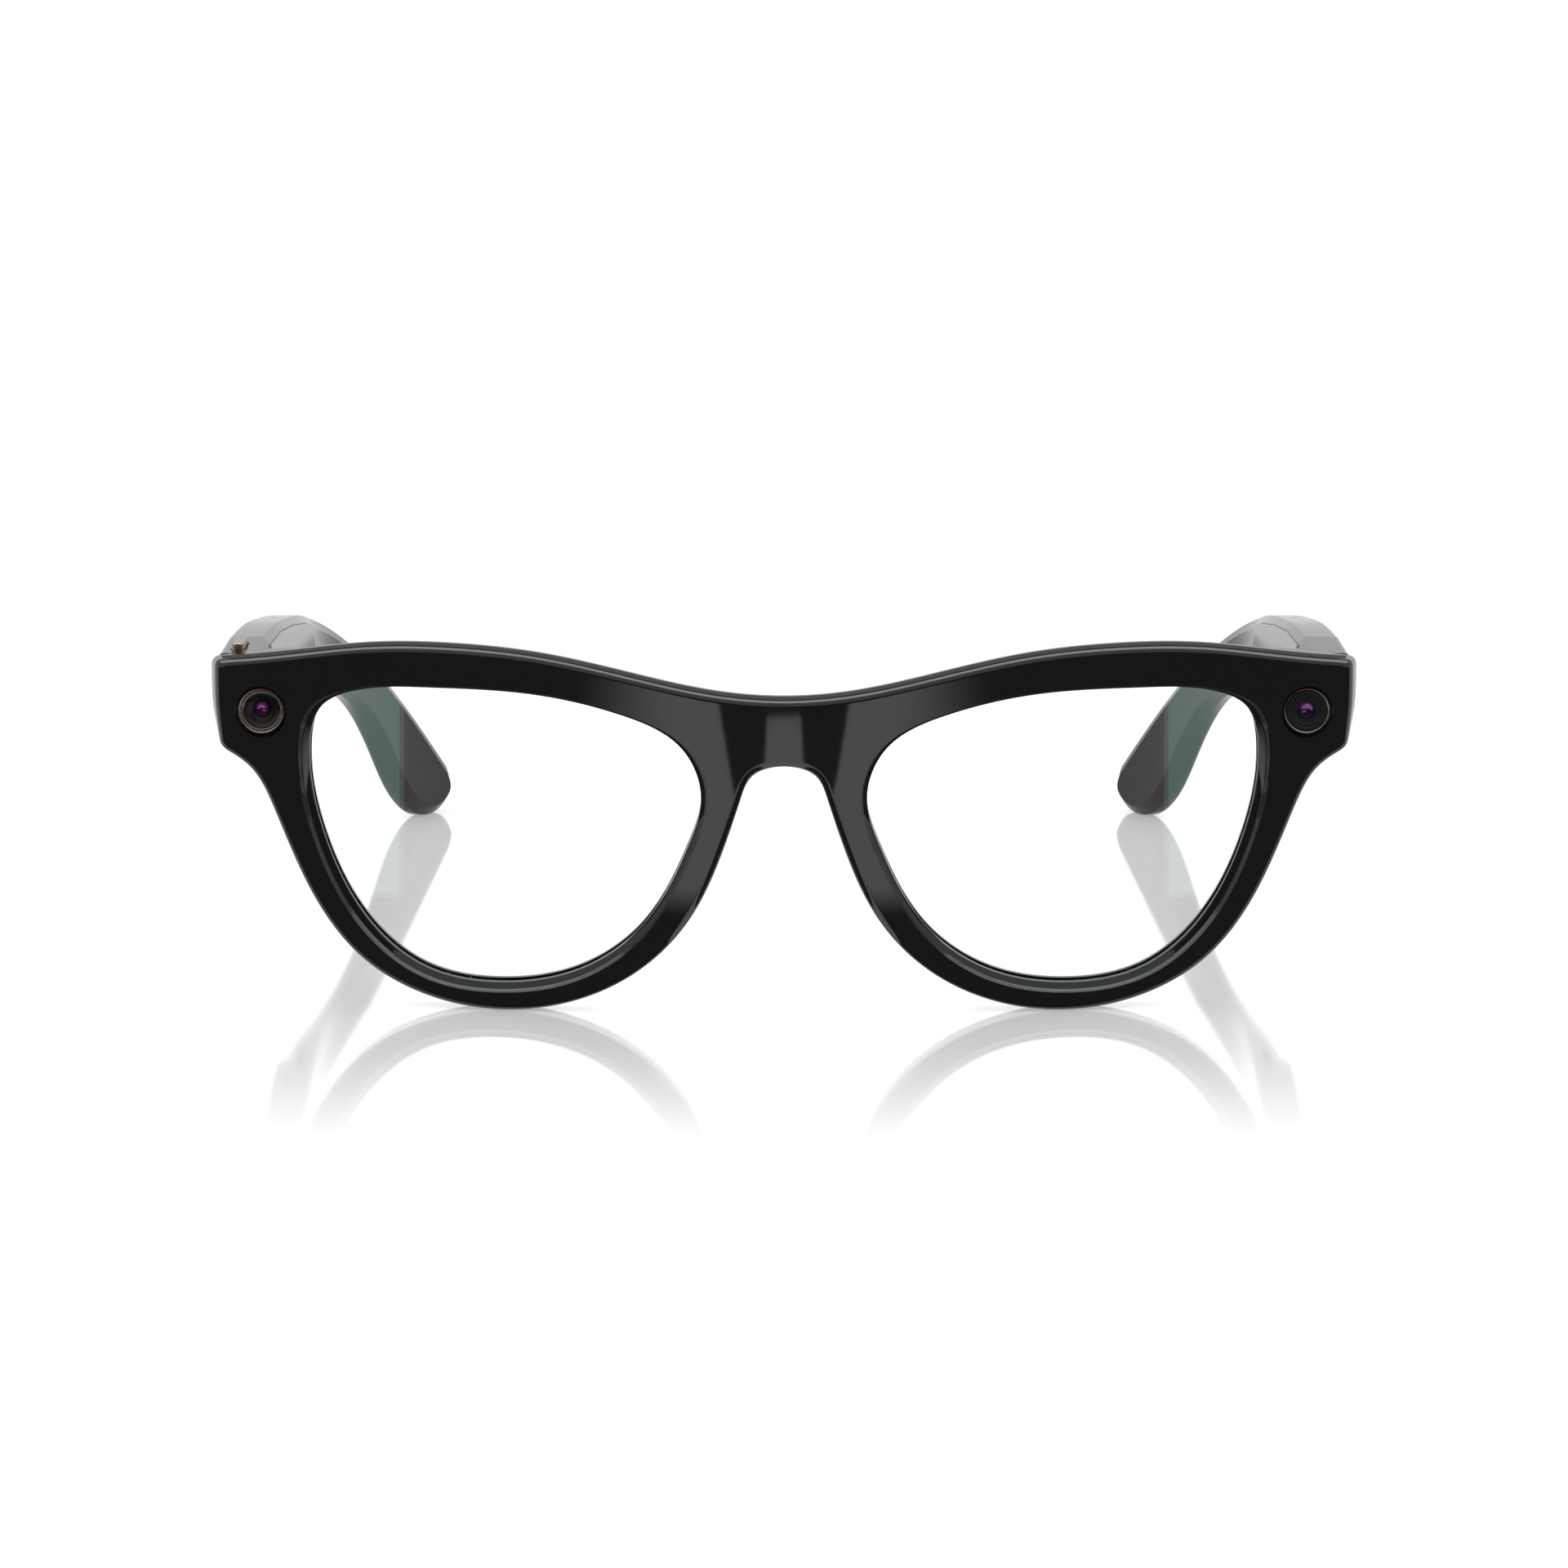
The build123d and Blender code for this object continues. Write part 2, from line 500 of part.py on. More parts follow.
# ---------------------------------------------------------------- what each temple holds
PORT_FLOOR = 26.9
speaker = strip_inside(69.15, 71.0, 84.0, 95.4, 6.4)
grille = block(69.52, 70.68, deep(PORT_START + 0.02), deep(PORT_END - 0.02), PORT_FLOOR, PORT_FLOOR + 0.4)
for hole in range(9):
    grille = grille - rod_z(70.1, deep(PORT_START + 0.8 + 0.8 * hole), 26, 28, 0.25)
microphones = [
    block(69.8, 72.2, deep(MIC_TOP - 1.8), deep(MIC_TOP + 1.8), 39.0, 40.05),
    block(69.8, 72.2, deep(MIC_LOW - 1.8), deep(MIC_LOW + 1.8), 29.9, 30.9),
]
for side, turn in SIDES:
    put(turn(speaker), f"speaker_{side}")
    put(turn(grille), f"speaker_grille_{side}")
    put(Compound([turn(microphone) for microphone in microphones]), f"microphones_{side}")
    put(Compound([turn(screw) for screw in cover_screws]), f"cover_screws_{side}")

put(strip_inside(69.3, 71.8, 45.5, 70.0, 5.2), "battery")
put(strip_inside(72.0, 72.4, 33.0, 70.0, 5.0), "power_board")
put(other_side(strip_inside(71.4, 71.9, 33.0, 70.0, 5.2)), "main_board")
put(other_side(strip_inside(69.9, 71.4, 37.0, 58.0, 4.6)), "shield_can")
put(other_side(strip_inside(72.15, 72.35, 36.0, 70.0, 5.0)), "touch_sensor")
put(other_side(strip_inside(70.6, 70.8, 74.0, 83.0, 4.0)), "antenna")
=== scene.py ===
import math

import bmesh
import bpy
import numpy as np
from mathutils import Euler, Matrix, Vector
from mathutils.geometry import delaunay_2d_cdt


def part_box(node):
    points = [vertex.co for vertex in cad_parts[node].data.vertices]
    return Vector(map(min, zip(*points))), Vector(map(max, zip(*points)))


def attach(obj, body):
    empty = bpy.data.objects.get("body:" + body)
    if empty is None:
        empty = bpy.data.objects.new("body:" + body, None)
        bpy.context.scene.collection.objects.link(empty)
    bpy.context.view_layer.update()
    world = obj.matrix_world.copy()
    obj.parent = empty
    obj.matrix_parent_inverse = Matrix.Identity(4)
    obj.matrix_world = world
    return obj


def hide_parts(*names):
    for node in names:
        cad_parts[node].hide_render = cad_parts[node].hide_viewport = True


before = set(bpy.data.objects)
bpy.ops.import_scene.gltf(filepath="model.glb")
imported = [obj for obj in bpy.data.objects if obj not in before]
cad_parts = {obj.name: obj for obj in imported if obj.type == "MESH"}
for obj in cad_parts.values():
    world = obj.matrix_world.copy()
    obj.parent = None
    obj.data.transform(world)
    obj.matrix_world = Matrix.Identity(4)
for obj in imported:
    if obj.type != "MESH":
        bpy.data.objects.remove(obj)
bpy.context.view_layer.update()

# ---------------------------------------------------------------- front frame
# The real front is cut from a block of polished black cellulose acetate, bent to the face and
# tumbled until its edges are round. Both rims, the bridge, the end pieces and the nose pads are
# one piece, with a bevel round each lens and pockets at the back for the electronics.
MM = 0.001
front_low, front_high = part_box("front_frame")
FRONT_Y = front_low.y / MM
ENDPIECE_BACK = front_high.y / MM
WRAP_RADIUS = 280.0          # face curve, seen from above
FRONT_THICK = 5.0
FRONT_ROUND = 1.0            # tumbled outer edge of the front face
REAR_ROUND = 0.4
LENS_FRONT = 1.8             # depth of the lens behind the front face
LENS_THICK = 1.8
LENS_BITE = 0.75             # how far the lens edge sits in its groove
EDGE_SPACING = 0.7
FACE_SPACING = 1.5

BROW = [(0, 41.1), (9, 41.8), (20, 44.1), (31, 46.4), (43, 47.5), (54, 47.3), (64, 46.0), (73.4, 44.9)]
END_SIDE = [(74.6, 43.6), (74.5, 38.5), (73.8, 34.2)]
LOWER_RIM = [
    (72.4, 33.0), (69.4, 31.0), (66.4, 26.0), (61.3, 14.6), (54.9, 6.4), (46.4, 1.7),
    (36.5, 0.05), (27.2, 1.4), (18.8, 5.5), (12.4, 12.0), (8.2, 20.4), (5.6, 28.0),
]
OPENING = [
    (46.0, 42.2), (33.3, 41.7), (20.7, 39.0), (13.2, 34.8), (10.7, 28.3), (12.4, 21.9), (18.7, 11.0),
    (26.5, 5.6),
    (36.5, 3.7), (46.4, 5.4), (54.8, 12.6), (59.6, 22.5), (61.4, 32.9), (59.7, 39.3), (54.5, 41.7),
]
AT_TOP_CORNER = (0.997, -0.08)
AT_LOW_CORNER = (-0.196, -0.981)


def smooth_line(points, spacing, closed=False, start=None, end=None):
    """Curve through the points with even curvature, as points about that spacing apart."""
    p = np.array(points + points[:1] if closed else points, float)
    h = np.linalg.norm(np.diff(p, axis=0), axis=1)
    slope = np.diff(p, axis=0) / h[:, None]
    n = len(p)
    a = np.zeros((n, n))
    b = np.zeros((n, p.shape[1]))
    for i in range(1, n - 1):
        a[i, i - 1:i + 2] = h[i], 2 * (h[i - 1] + h[i]), h[i - 1]
        b[i] = 3 * (h[i] * slope[i - 1] + h[i - 1] * slope[i])
    if closed:
        a[0, 0], a[0, -1] = 1, -1
        a[-1, -2] += h[0]
        a[-1, 0] += 2 * (h[-1] + h[0])
        a[-1, 1] += h[-1]
        b[-1] = 3 * (h[0] * slope[-1] + h[-1] * slope[0])
    for row, near, value, chord in ((0, 1, start, 0), (-1, -2, end, -1)):
        if closed:
            break
        a[row, row] = 1 if value is not None else 2
        a[row, near] = 0 if value is not None else 1
        b[row] = value if value is not None else 3 * slope[chord]
    m = np.linalg.solve(a, b)
    made = []
    for i in range(n - 1):
        steps = max(2, math.ceil(h[i] / spacing))
        t = np.arange(steps)[:, None] / steps
        made.append(
            (1 + 2 * t) * (1 - t) ** 2 * p[i] + t * (1 - t) ** 2 * h[i] * m[i]
            + t * t * (3 - 2 * t) * p[i + 1] + t * t * (t - 1) * h[i] * m[i + 1]
        )
    if not closed:
        made.append(p[-1:])
    return np.vstack(made)


def outward(loop):
    """Unit directions away from what a closed loop encloses."""
    ahead = np.roll(loop, -1, 0)
    along = ahead - np.roll(loop, 1, 0)
    turn = np.sign(np.sum(loop[:, 0] * ahead[:, 1] - ahead[:, 0] * loop[:, 1]))
    out = np.stack([along[:, 1], -along[:, 0]], 1) * turn
    out = out / np.linalg.norm(out, axis=1)[:, None]
    out = out + np.roll(out, 1, 0) + np.roll(out, -1, 0)
    return out / np.linalg.norm(out, axis=1)[:, None]


def within(points, loops):
    """True for the points between the first loop and the others."""
    odd = np.zeros(len(points), bool)
    x, z = points[:, :1], points[:, 1:2]
    for loop in loops:
        x0, z0 = loop.T
        x1, z1 = np.roll(loop, -1, 0).T
        rise = np.where(z1 == z0, 1.0, z1 - z0)
        crossed = ((z0 > z) != (z1 > z)) & (x < x0 + (z - z0) * (x1 - x0) / rise)
        odd ^= crossed.sum(1) % 2 == 1
    return odd


def fill(loops, spacing):
    """Points and triangles that fill the space between the first loop and the others."""
    rim = np.vstack(loops)
    low, high = rim.min(0), rim.max(0)
    rows = np.arange(low[1], high[1], spacing * 0.87)
    lattice = [
        (x + (k % 2) * spacing / 2, z)
        for k, z in enumerate(rows)
        for x in np.arange(low[0], high[0], spacing)
    ]
    lattice = np.array(lattice)
    lattice = lattice[within(lattice, loops)]
    clear = [np.min(np.hypot(*(rim - spot).T)) > 0.55 * spacing for spot in lattice]
    lattice = lattice[np.array(clear, bool)]
    points = np.vstack([rim, lattice])
    ties = []
    for loop in loops:
        first = len(ties)
        ties += [(first + i, first + (i + 1) % len(loop)) for i in range(len(loop))]
    found = delaunay_2d_cdt([Vector(spot) for spot in points], ties, [], 0, 1e-7)
    source = [came_from[0] for came_from in found[3]]
    triangles = np.array([[source[i] for i in face] for face in found[2]])
    return lattice, triangles[within(points[triangles].mean(1), loops)]


def new_piece(name, corners, faces, sharp=35):
    """Object from corners in millimetres, welded, with its faces turned outwards."""
    mesh = bpy.data.meshes.new(name)
    mesh.from_pydata((np.array(corners) * MM).tolist(), [], [list(map(int, face)) for face in faces])
    shape = bmesh.new()
    shape.from_mesh(mesh)
    bmesh.ops.remove_doubles(shape, verts=shape.verts, dist=1e-7)
    bmesh.ops.recalc_face_normals(shape, faces=shape.faces)
    shape.to_mesh(mesh)
    shape.free()
    mesh.shade_smooth()
    mesh.set_sharp_from_angle(angle=math.radians(sharp))
    piece = bpy.data.objects.new(name, mesh)
    bpy.context.scene.collection.objects.link(piece)
    return piece


def sheet_piece(name, edges, near, far, flat, spacing):
    """Closed sheet. Each edge is a list of rows from its near face to its far face."""
    corners, faces = [], []
    near_rows, far_rows = [], []
    for rows in edges:
        count = len(rows[0])
        ids = np.arange(len(rows) * count).reshape(len(rows), count) + len(corners)
        corners += [tuple(spot) for row in rows for spot in row]
        beside = np.roll(ids, -1, 1)
        faces += np.stack([ids[:-1], beside[:-1], beside[1:], ids[1:]], -1).reshape(-1, 4).tolist()
        near_rows.append(ids[0])
        far_rows.append(ids[-1])
    for rows, place in ((near_rows, near), (far_rows, far)):
        loops = [np.array([corners[i] for i in row])[:, flat] for row in rows]
        inner, triangles = fill(loops, spacing)
        ids = np.concatenate(rows + [np.arange(len(inner)) + len(corners)])
        corners += [tuple(spot) for spot in place(inner)]
        faces += ids[triangles].tolist()
    return new_piece(name, corners, faces)


def prism(loop, axis, start, end):
    """Corners and faces of a straight solid on a closed loop, along one axis."""
    loop = np.array(loop, float)
    others = [i for i in range(3) if i != axis]
    corners = np.zeros((2 * len(loop), 3))
    corners[:len(loop), others] = loop
    corners[len(loop):, others] = loop
    corners[:len(loop), axis] = start
    corners[len(loop):, axis] = end
    n = len(loop)
    sides = [[i, (i + 1) % n, (i + 1) % n + n, i + n] for i in range(n)]
    return corners, sides + [list(range(n)), list(range(n, 2 * n))]


def block(x0, x1, y0, y1, z0, z1):
    """Straight block between two corners."""
    return prism([(x0, y0), (x1, y0), (x1, y1), (x0, y1)], 2, z0, z1)


def ring_loop(centre, radius, count=48):
    """Points round a circle."""
    turn = np.arange(count) * 2 * math.pi / count
    return np.stack([centre[0] + radius * np.cos(turn), centre[1] + radius * np.sin(turn)], 1)


def mirrored(solids):
    """Solids and the same solids on the other side."""
    return solids + [(corners * (-1, 1, 1), faces) for corners, faces in solids]


def work(piece, solids, operation="DIFFERENCE"):
    """Cuts separate solids out of a piece, or joins them to it."""
    corners, faces = [], []
    for spots, sides in solids:
        faces += [[i + len(corners) for i in side] for side in sides]
        corners += [tuple(spot) for spot in spots]
    tool = new_piece("tool", corners, faces)
    step = piece.modifiers.new("work", "BOOLEAN")
    step.operation = operation
    step.solver = "EXACT"
    step.object = tool
    apply_modifiers(piece)
    bpy.data.objects.remove(tool)


def apply_modifiers(piece):
    """Puts what a piece's modifiers make into its mesh."""
    bpy.context.view_layer.update()
    shown = piece.evaluated_get(bpy.context.evaluated_depsgraph_get())
    mesh = bpy.data.meshes.new_from_object(shown)
    mesh.name = piece.name
    piece.modifiers.clear()
    piece.data = mesh


def settle_normals(piece, surfaces, sharp=32):
    """Lets the large faces decide how light runs over the rounded edges. Each surface gives how far
    points are from it and its true direction there, which the faces on it take."""
    piece.data.set_sharp_from_angle(angle=math.radians(sharp))
    step = piece.modifiers.new("shading", "WEIGHTED_NORMAL")
    step.mode = "FACE_AREA"
    step.weight = 50
    step.keep_sharp = True
    apply_modifiers(piece)
    mesh = piece.data
    spots = np.zeros(len(mesh.vertices) * 3)
    mesh.vertices.foreach_get("co", spots)
    spots = spots.reshape(-1, 3) / MM
    corner_spot = np.zeros(len(mesh.loops), int)
    mesh.loops.foreach_get("vertex_index", corner_spot)
    now = np.zeros(len(mesh.loops) * 3)
    mesh.corner_normals.foreach_get("vector", now)
    now = now.reshape(-1, 3)
    sizes = np.zeros(len(mesh.polygons), int)
    mesh.polygons.foreach_get("loop_total", sizes)
    facing = np.zeros(len(mesh.polygons) * 3)
    mesh.polygons.foreach_get("normal", facing)
    facing = np.repeat(facing.reshape(-1, 3), sizes, 0)
    for surface in surfaces:
        gap, true = surface(spots)
        on_it = (np.abs(gap) < 0.002)[corner_spot] & (np.sum(facing * true[corner_spot], 1) > 0.965)
        now[on_it] = true[corner_spot][on_it]
    mesh.normals_split_custom_set(now.tolist())


def wrap_y(x, depth):
    """Y of a point that depth behind the curved face."""
    return FRONT_Y + WRAP_RADIUS - np.sqrt((WRAP_RADIUS - depth) ** 2 - x ** 2)


def ramp(value, low, high):
    """0 below low, 1 above high, smooth between."""
    t = np.clip((value - low) / (high - low), 0, 1)
    return t * t * (3 - 2 * t)


def rear_y(x, z):
    """Back of the rims, which steps back to a flat face behind each end piece."""
    rim = wrap_y(x, FRONT_THICK)
    step = ramp(np.abs(x), 63.6, 64.4) * ramp(z, 30.6, 31.4)
    return np.minimum(rim + (ENDPIECE_BACK - rim) * step, ENDPIECE_BACK)


def flared(points):
    """Leans the sides of the end pieces out towards the back."""
    points = np.array(points, float)
    side = np.abs(points[:, 0])
    lean = 1.1 * np.clip((side - 72.4) / 2.2, 0, 1) * np.clip((ENDPIECE_BACK - points[:, 1]) / 5.2, 0, 1)
    points[:, 0] -= np.sign(points[:, 0]) * lean
    return points


lower_rim = smooth_line(LOWER_RIM, EDGE_SPACING)
rim_start = lower_rim[1] - lower_rim[0]
rim_end = lower_rim[-1] - lower_rim[-2]
half = np.vstack([
    smooth_line(BROW, EDGE_SPACING, start=(1, 0), end=AT_TOP_CORNER)[:-1],
    smooth_line([BROW[-1], (74.3, 44.5), END_SIDE[0]], 0.35, start=AT_TOP_CORNER, end=(0, -1))[:-1],
    smooth_line(END_SIDE, EDGE_SPACING, start=(0, -1), end=AT_LOW_CORNER)[:-1],
    smooth_line(
        [END_SIDE[-1], (73.2, 33.4), LOWER_RIM[0]], 0.35,
        start=AT_LOW_CORNER, end=rim_start / np.linalg.norm(rim_start),
    )[:-1],
    lower_rim[:-1],
    smooth_line(
        [LOWER_RIM[-1], (4.2, 31.0), (0, 32.4)], 0.4, start=rim_end / np.linalg.norm(rim_end), end=(-1, 0),
    ),
])
outline = np.vstack([half, (half * (-1, 1))[-2:0:-1]])
outline_out = outward(outline)


def front_row(loop, depth):
    """Row of points on the curved face or at a depth behind it."""
    return flared(np.column_stack([loop[:, 0], wrap_y(loop[:, 0], depth), loop[:, 1]]))


def back_row(loop, lift):
    """Row of points that far in front of the back."""
    return flared(np.column_stack([loop[:, 0], rear_y(loop[:, 0], loop[:, 1]) - lift, loop[:, 1]]))


outline_rows = []
for turn in np.radians(np.arange(0, 91, 15)):
    inset = FRONT_ROUND * (1 - math.sin(turn))
    outline_rows.append(front_row(outline - outline_out * inset, FRONT_ROUND * (1 - math.cos(turn))))
for inset, lift in ((0, REAR_ROUND), (0.03, 0.24), (0.12, 0.12), (0.24, 0.03), (REAR_ROUND, 0)):
    outline_rows.append(back_row(outline - outline_out * inset, lift))

# The bevel round each opening is widest at the temple side and fades out under the brow.
BEVEL_TEMPLE, BEVEL_NOSE, BEVEL_BROW, BEVEL_CHEEK = 1.5, 0.8, 0.2, 1.2
opening = smooth_line(OPENING, EDGE_SPACING, closed=True)
opening_out = outward(opening)
reach = opening_out ** 2
bevel = np.where(opening_out[:, 0] > 0, BEVEL_TEMPLE, BEVEL_NOSE) * reach[:, 0]
bevel = bevel + np.where(opening_out[:, 1] > 0, BEVEL_BROW, BEVEL_CHEEK) * reach[:, 1]
GROOVE_CLEAR = 0.05
groove = LENS_BITE + GROOVE_CLEAR
opening_rows = []
for wide, deep in (
    (1.0, 0.0), (0.96, 0.04), (0.86, 0.2), (0.76, 0.42), (0.66, 0.52), (0.16, 0.66), (0.04, 0.72),
):
    grown = opening + opening_out * (bevel * wide)[:, None]
    opening_rows.append(np.column_stack([grown[:, 0], wrap_y(grown[:, 0], bevel * deep), grown[:, 1]]))
for grow, depth in (
    (0.0, 1.3), (0.0, LENS_FRONT - GROOVE_CLEAR), (groove, LENS_FRONT - GROOVE_CLEAR),
    (groove, LENS_FRONT + LENS_THICK + GROOVE_CLEAR), (0.0, LENS_FRONT + LENS_THICK + GROOVE_CLEAR),
    (0.0, 4.6), (0.03, 4.76), (0.12, 4.88), (0.24, 4.97), (0.4, 5.0),
):
    grown = opening + opening_out * grow
    opening_rows.append(np.column_stack([grown[:, 0], wrap_y(grown[:, 0], depth), grown[:, 1]]))
other_opening_rows = [row * (-1, 1, 1) for row in opening_rows]

front = sheet_piece(
    "front_frame_polished",
    [outline_rows, opening_rows, other_opening_rows],
    lambda p: flared(np.column_stack([p[:, 0], wrap_y(p[:, 0], 0), p[:, 1]])),
    lambda p: flared(np.column_stack([p[:, 0], rear_y(p[:, 0], p[:, 1]), p[:, 1]])),
    [0, 2],
    FACE_SPACING,
)

# nose pads, which stand behind the rims
PAD_CENTRE = (10.8, -71.5, 19.5)
PAD_SIZE = (1.8, 6.2, 8.0)
PAD_TILT = -23.5
PAD_FRONT = -73.0            # cut off here, inside the rim
pad_shape = bmesh.new()
for side in (1, -1):
    tilt = Euler((0, math.radians(PAD_TILT * side), 0)).to_matrix().to_4x4()
    spot = Matrix.Translation((side * PAD_CENTRE[0], *PAD_CENTRE[1:]))
    place = spot @ tilt @ Matrix.Diagonal((*PAD_SIZE, 1))
    bmesh.ops.create_uvsphere(pad_shape, u_segments=48, v_segments=32, radius=1, matrix=place)
everything = pad_shape.verts[:] + pad_shape.edges[:] + pad_shape.faces[:]
bmesh.ops.bisect_plane(
    pad_shape, geom=everything, plane_co=(0, PAD_FRONT, 0), plane_no=(0, -1, 0), clear_outer=True,
)
bmesh.ops.holes_fill(pad_shape, edges=[e for e in pad_shape.edges if e.is_boundary])
pad_shape.verts.index_update()
pads = (np.array([v.co[:] for v in pad_shape.verts]), [[v.index for v in f.verts] for f in pad_shape.faces])
pad_shape.free()
work(front, [pads], "UNION")

# pockets: modules, plates, hinge leaves, contacts, and the channel of the brow circuit
MODULE_X, MODULE_Z = 67.7, 38.3
RECESS_FLOOR = -66.6
RECESS_RADIUS = 3.35
BARREL_RADIUS = 2.3
LEAF_X = 65.2
CHANNEL_FLOOR = 2.3
BROW_LINE = [(68.5, 42.9), (64, 43.9), (56, 44.7), (45, 44.9), (33, 44.2), (20, 41.5), (10, 38.2), (0, 36.8)]
channel_line = smooth_line(BROW_LINE + [(-x, z) for x, z in BROW_LINE[-2::-1]], 1.5)
channel = []
for x, z in channel_line:
    for rise, depth in ((0.9, CHANNEL_FLOOR), (-0.9, CHANNEL_FLOOR), (-0.9, 5.6), (0.9, 5.6)):
        channel.append((x, wrap_y(x, depth), z + rise))
channel_faces = [[0, 1, 2, 3], [len(channel) - i for i in range(1, 5)]]
for first in range(0, len(channel) - 4, 4):
    for i in range(4):
        after = (i + 1) % 4
        channel_faces.append([first + i, first + after, first + 4 + after, first + 4 + i])
module = (MODULE_X, MODULE_Z)
work(front, mirrored([
    prism(ring_loop(module, RECESS_RADIUS, 96), 1, -75, RECESS_FLOOR),
    block(66.7, 73.2, -62.4, -60.0, 34.6, 43.9),
    block(LEAF_X - 0.03, LEAF_X + 1.03, -64.25, -60.0, 35.0, 43.0),
]) + [block(-6, 6, -73.6, -70, 34.4, 39.2)])
work(front, [(np.array(channel), channel_faces)])
work(front, mirrored([
    prism(ring_loop(module, BARREL_RADIUS + 0.05), 1, RECESS_FLOOR - 0.5, -64.5),
]) + [prism(ring_loop((0, -72.8), 0.4, 24), 2, 30, 35)])


def wrapped(depth, way):
    """Surface at a depth behind the curved face, looking forwards (1) or backwards (-1)."""
    def surface(spots):
        x = np.clip(spots[:, 0], -80, 80)
        radius = WRAP_RADIUS - depth
        true = np.column_stack([x / radius, -np.sqrt(1 - (x / radius) ** 2), 0 * x]) * way
        return spots[:, 1] - wrap_y(x, depth), true
    return surface


settle_normals(front, [wrapped(0, 1), wrapped(FRONT_THICK, -1)])


def tint(shade):
    """Linear colour of an sRGB hex value."""
    parts = [int(shade[i:i + 2], 16) / 255 for i in (1, 3, 5)]
    return tuple(c / 12.92 if c <= 0.04045 else ((c + 0.055) / 1.055) ** 2.4 for c in parts) + (1.0,)


def add(tree, kind, values=None, links=None, **settings):
    """Adds a node with its settings, socket values and links."""
    made = tree.nodes.new(kind)
    for name, value in settings.items():
        setattr(made, name, value)
    for socket, value in (values or {}).items():
        made.inputs[socket].default_value = value
    for socket, source in (links or {}).items():
        tree.links.new(source, made.inputs[socket])
    return made


def blank(name):
    """New material with an empty node tree."""
    material = bpy.data.materials.new(name)
    material.use_nodes = True
    material.node_tree.nodes.clear()
    return material, material.node_tree


def solid_finish(name, colour, roughness, grain_mm, relief_mm, metallic=0.0, shade=0.12, **extra):
    """Opaque finish whose surface has fine relief and a little drift of tone and gloss."""
    material, tree = blank(name)
    place = add(tree, "ShaderNodeTexCoord")
    grain = add(
        tree, "ShaderNodeTexNoise", {"Scale": 1 / (grain_mm * MM), "Detail": 3.0},
        {"Vector": place.outputs["Object"]},
    )
    drift = add(
        tree, "ShaderNodeTexNoise", {"Scale": 1 / (12 * MM), "Detail": 2.0},
        {"Vector": place.outputs["Object"]},
    )
    tone = add(
        tree, "ShaderNodeMapRange", {"To Min": 1 - shade, "To Max": 1 + shade},
        {"Value": drift.outputs["Fac"]},
    )
    colour_node = add(
        tree, "ShaderNodeMix", {0: 1.0, 6: tint(colour)}, {7: tone.outputs["Result"]},
        data_type="RGBA", blend_type="MULTIPLY",
    )
    gloss = add(
        tree, "ShaderNodeMapRange", {"To Min": roughness * 0.85, "To Max": roughness * 1.15},
        {"Value": grain.outputs["Fac"]},
    )
    relief = add(
        tree, "ShaderNodeBump", {"Strength": 1.0, "Distance": relief_mm * MM},
        {"Height": grain.outputs["Fac"]},
    )
    shader = add(
        tree, "ShaderNodeBsdfPrincipled", {"Metallic": metallic, **extra},
        {
            "Base Color": colour_node.outputs[2], "Roughness": gloss.outputs["Result"],
            "Normal": relief.outputs["Normal"],
        },
    )
    add(tree, "ShaderNodeOutputMaterial", links={"Surface": shader.outputs["BSDF"]})
    return material


def dress(piece, material, body, slot_name, *stands_for):
    """Gives an own piece its material and its body, and hides the CAD nodes it stands for. slot_name is not used.
    """
    piece.data.materials.clear()
    piece.data.materials.append(material)
    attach(piece, body)
    if stands_for:
        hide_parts(*stands_for)


# Polished acetate: deep black, wet-looking gloss with the faintest orange peel from tumbling.
polished_acetate = solid_finish(
    "polished black cellulose acetate", "#141414", 0.035, 2.4, 0.0004, IOR=1.5, shade=0.05,
)
dress(front, polished_acetate, "front", "frame_black", "front_frame")

# ---------------------------------------------------------------- lenses
# The real lenses are clear polyamide with a hard coat and an anti-reflection coat on both faces.
# Each is ground with an edge that snaps into the groove of the rim.
lens_edge = opening + opening_out * LENS_BITE
LENS_REFLECT = 0.04          # share of the light that each coated face gives back

clear_lens, tree = blank("coated clear polyamide")
# Nearly invisible over white, with the faint green of the coating where a light is mirrored.
rim_light = add(tree, "ShaderNodeFresnel", {"IOR": 1.38})
share = add(
    tree, "ShaderNodeMapRange", {"From Min": 0.02, "From Max": 1.0, "To Min": LENS_REFLECT, "To Max": 0.4},
    {"Value": rim_light.outputs["Fac"]},
)
through = add(tree, "ShaderNodeBsdfTransparent", {"Color": tint("#fefeff")})
mirror = add(tree, "ShaderNodeBsdfGlossy", {"Color": tint("#cbfff4"), "Roughness": 0.01})
coated = add(
    tree, "ShaderNodeMixShader",
    links={0: share.outputs["Result"], 1: through.outputs["BSDF"], 2: mirror.outputs["BSDF"]},
)
add(tree, "ShaderNodeOutputMaterial", links={"Surface": coated.outputs["Shader"]})


def bent(loop, depth):
    """Row of points at a depth behind the curved face."""
    return np.column_stack([loop[:, 0], wrap_y(loop[:, 0], depth), loop[:, 1]])


lenses = []
for side, hand in ((1, "left"), (-1, "right")):
    rows = []
    for inset, depth in (
        (0.12, LENS_FRONT), (0.0, LENS_FRONT + 0.12), (0.0, LENS_FRONT + 1.68), (0.12, LENS_FRONT + 1.8),
    ):
        rows.append(bent(lens_edge - opening_out * inset, depth) * (side, 1, 1))
    lens = sheet_piece(
        f"lens_{hand}_coated", [rows],
        lambda p: bent(p, LENS_FRONT), lambda p: bent(p, LENS_FRONT + LENS_THICK), [0, 2], 2.5,
    )
    settle_normals(lens, [wrapped(LENS_FRONT, 1), wrapped(LENS_FRONT + LENS_THICK, -1)])
    dress(lens, clear_lens, "front", "lens_clear", f"lens_{hand}")
    lenses.append(lens)

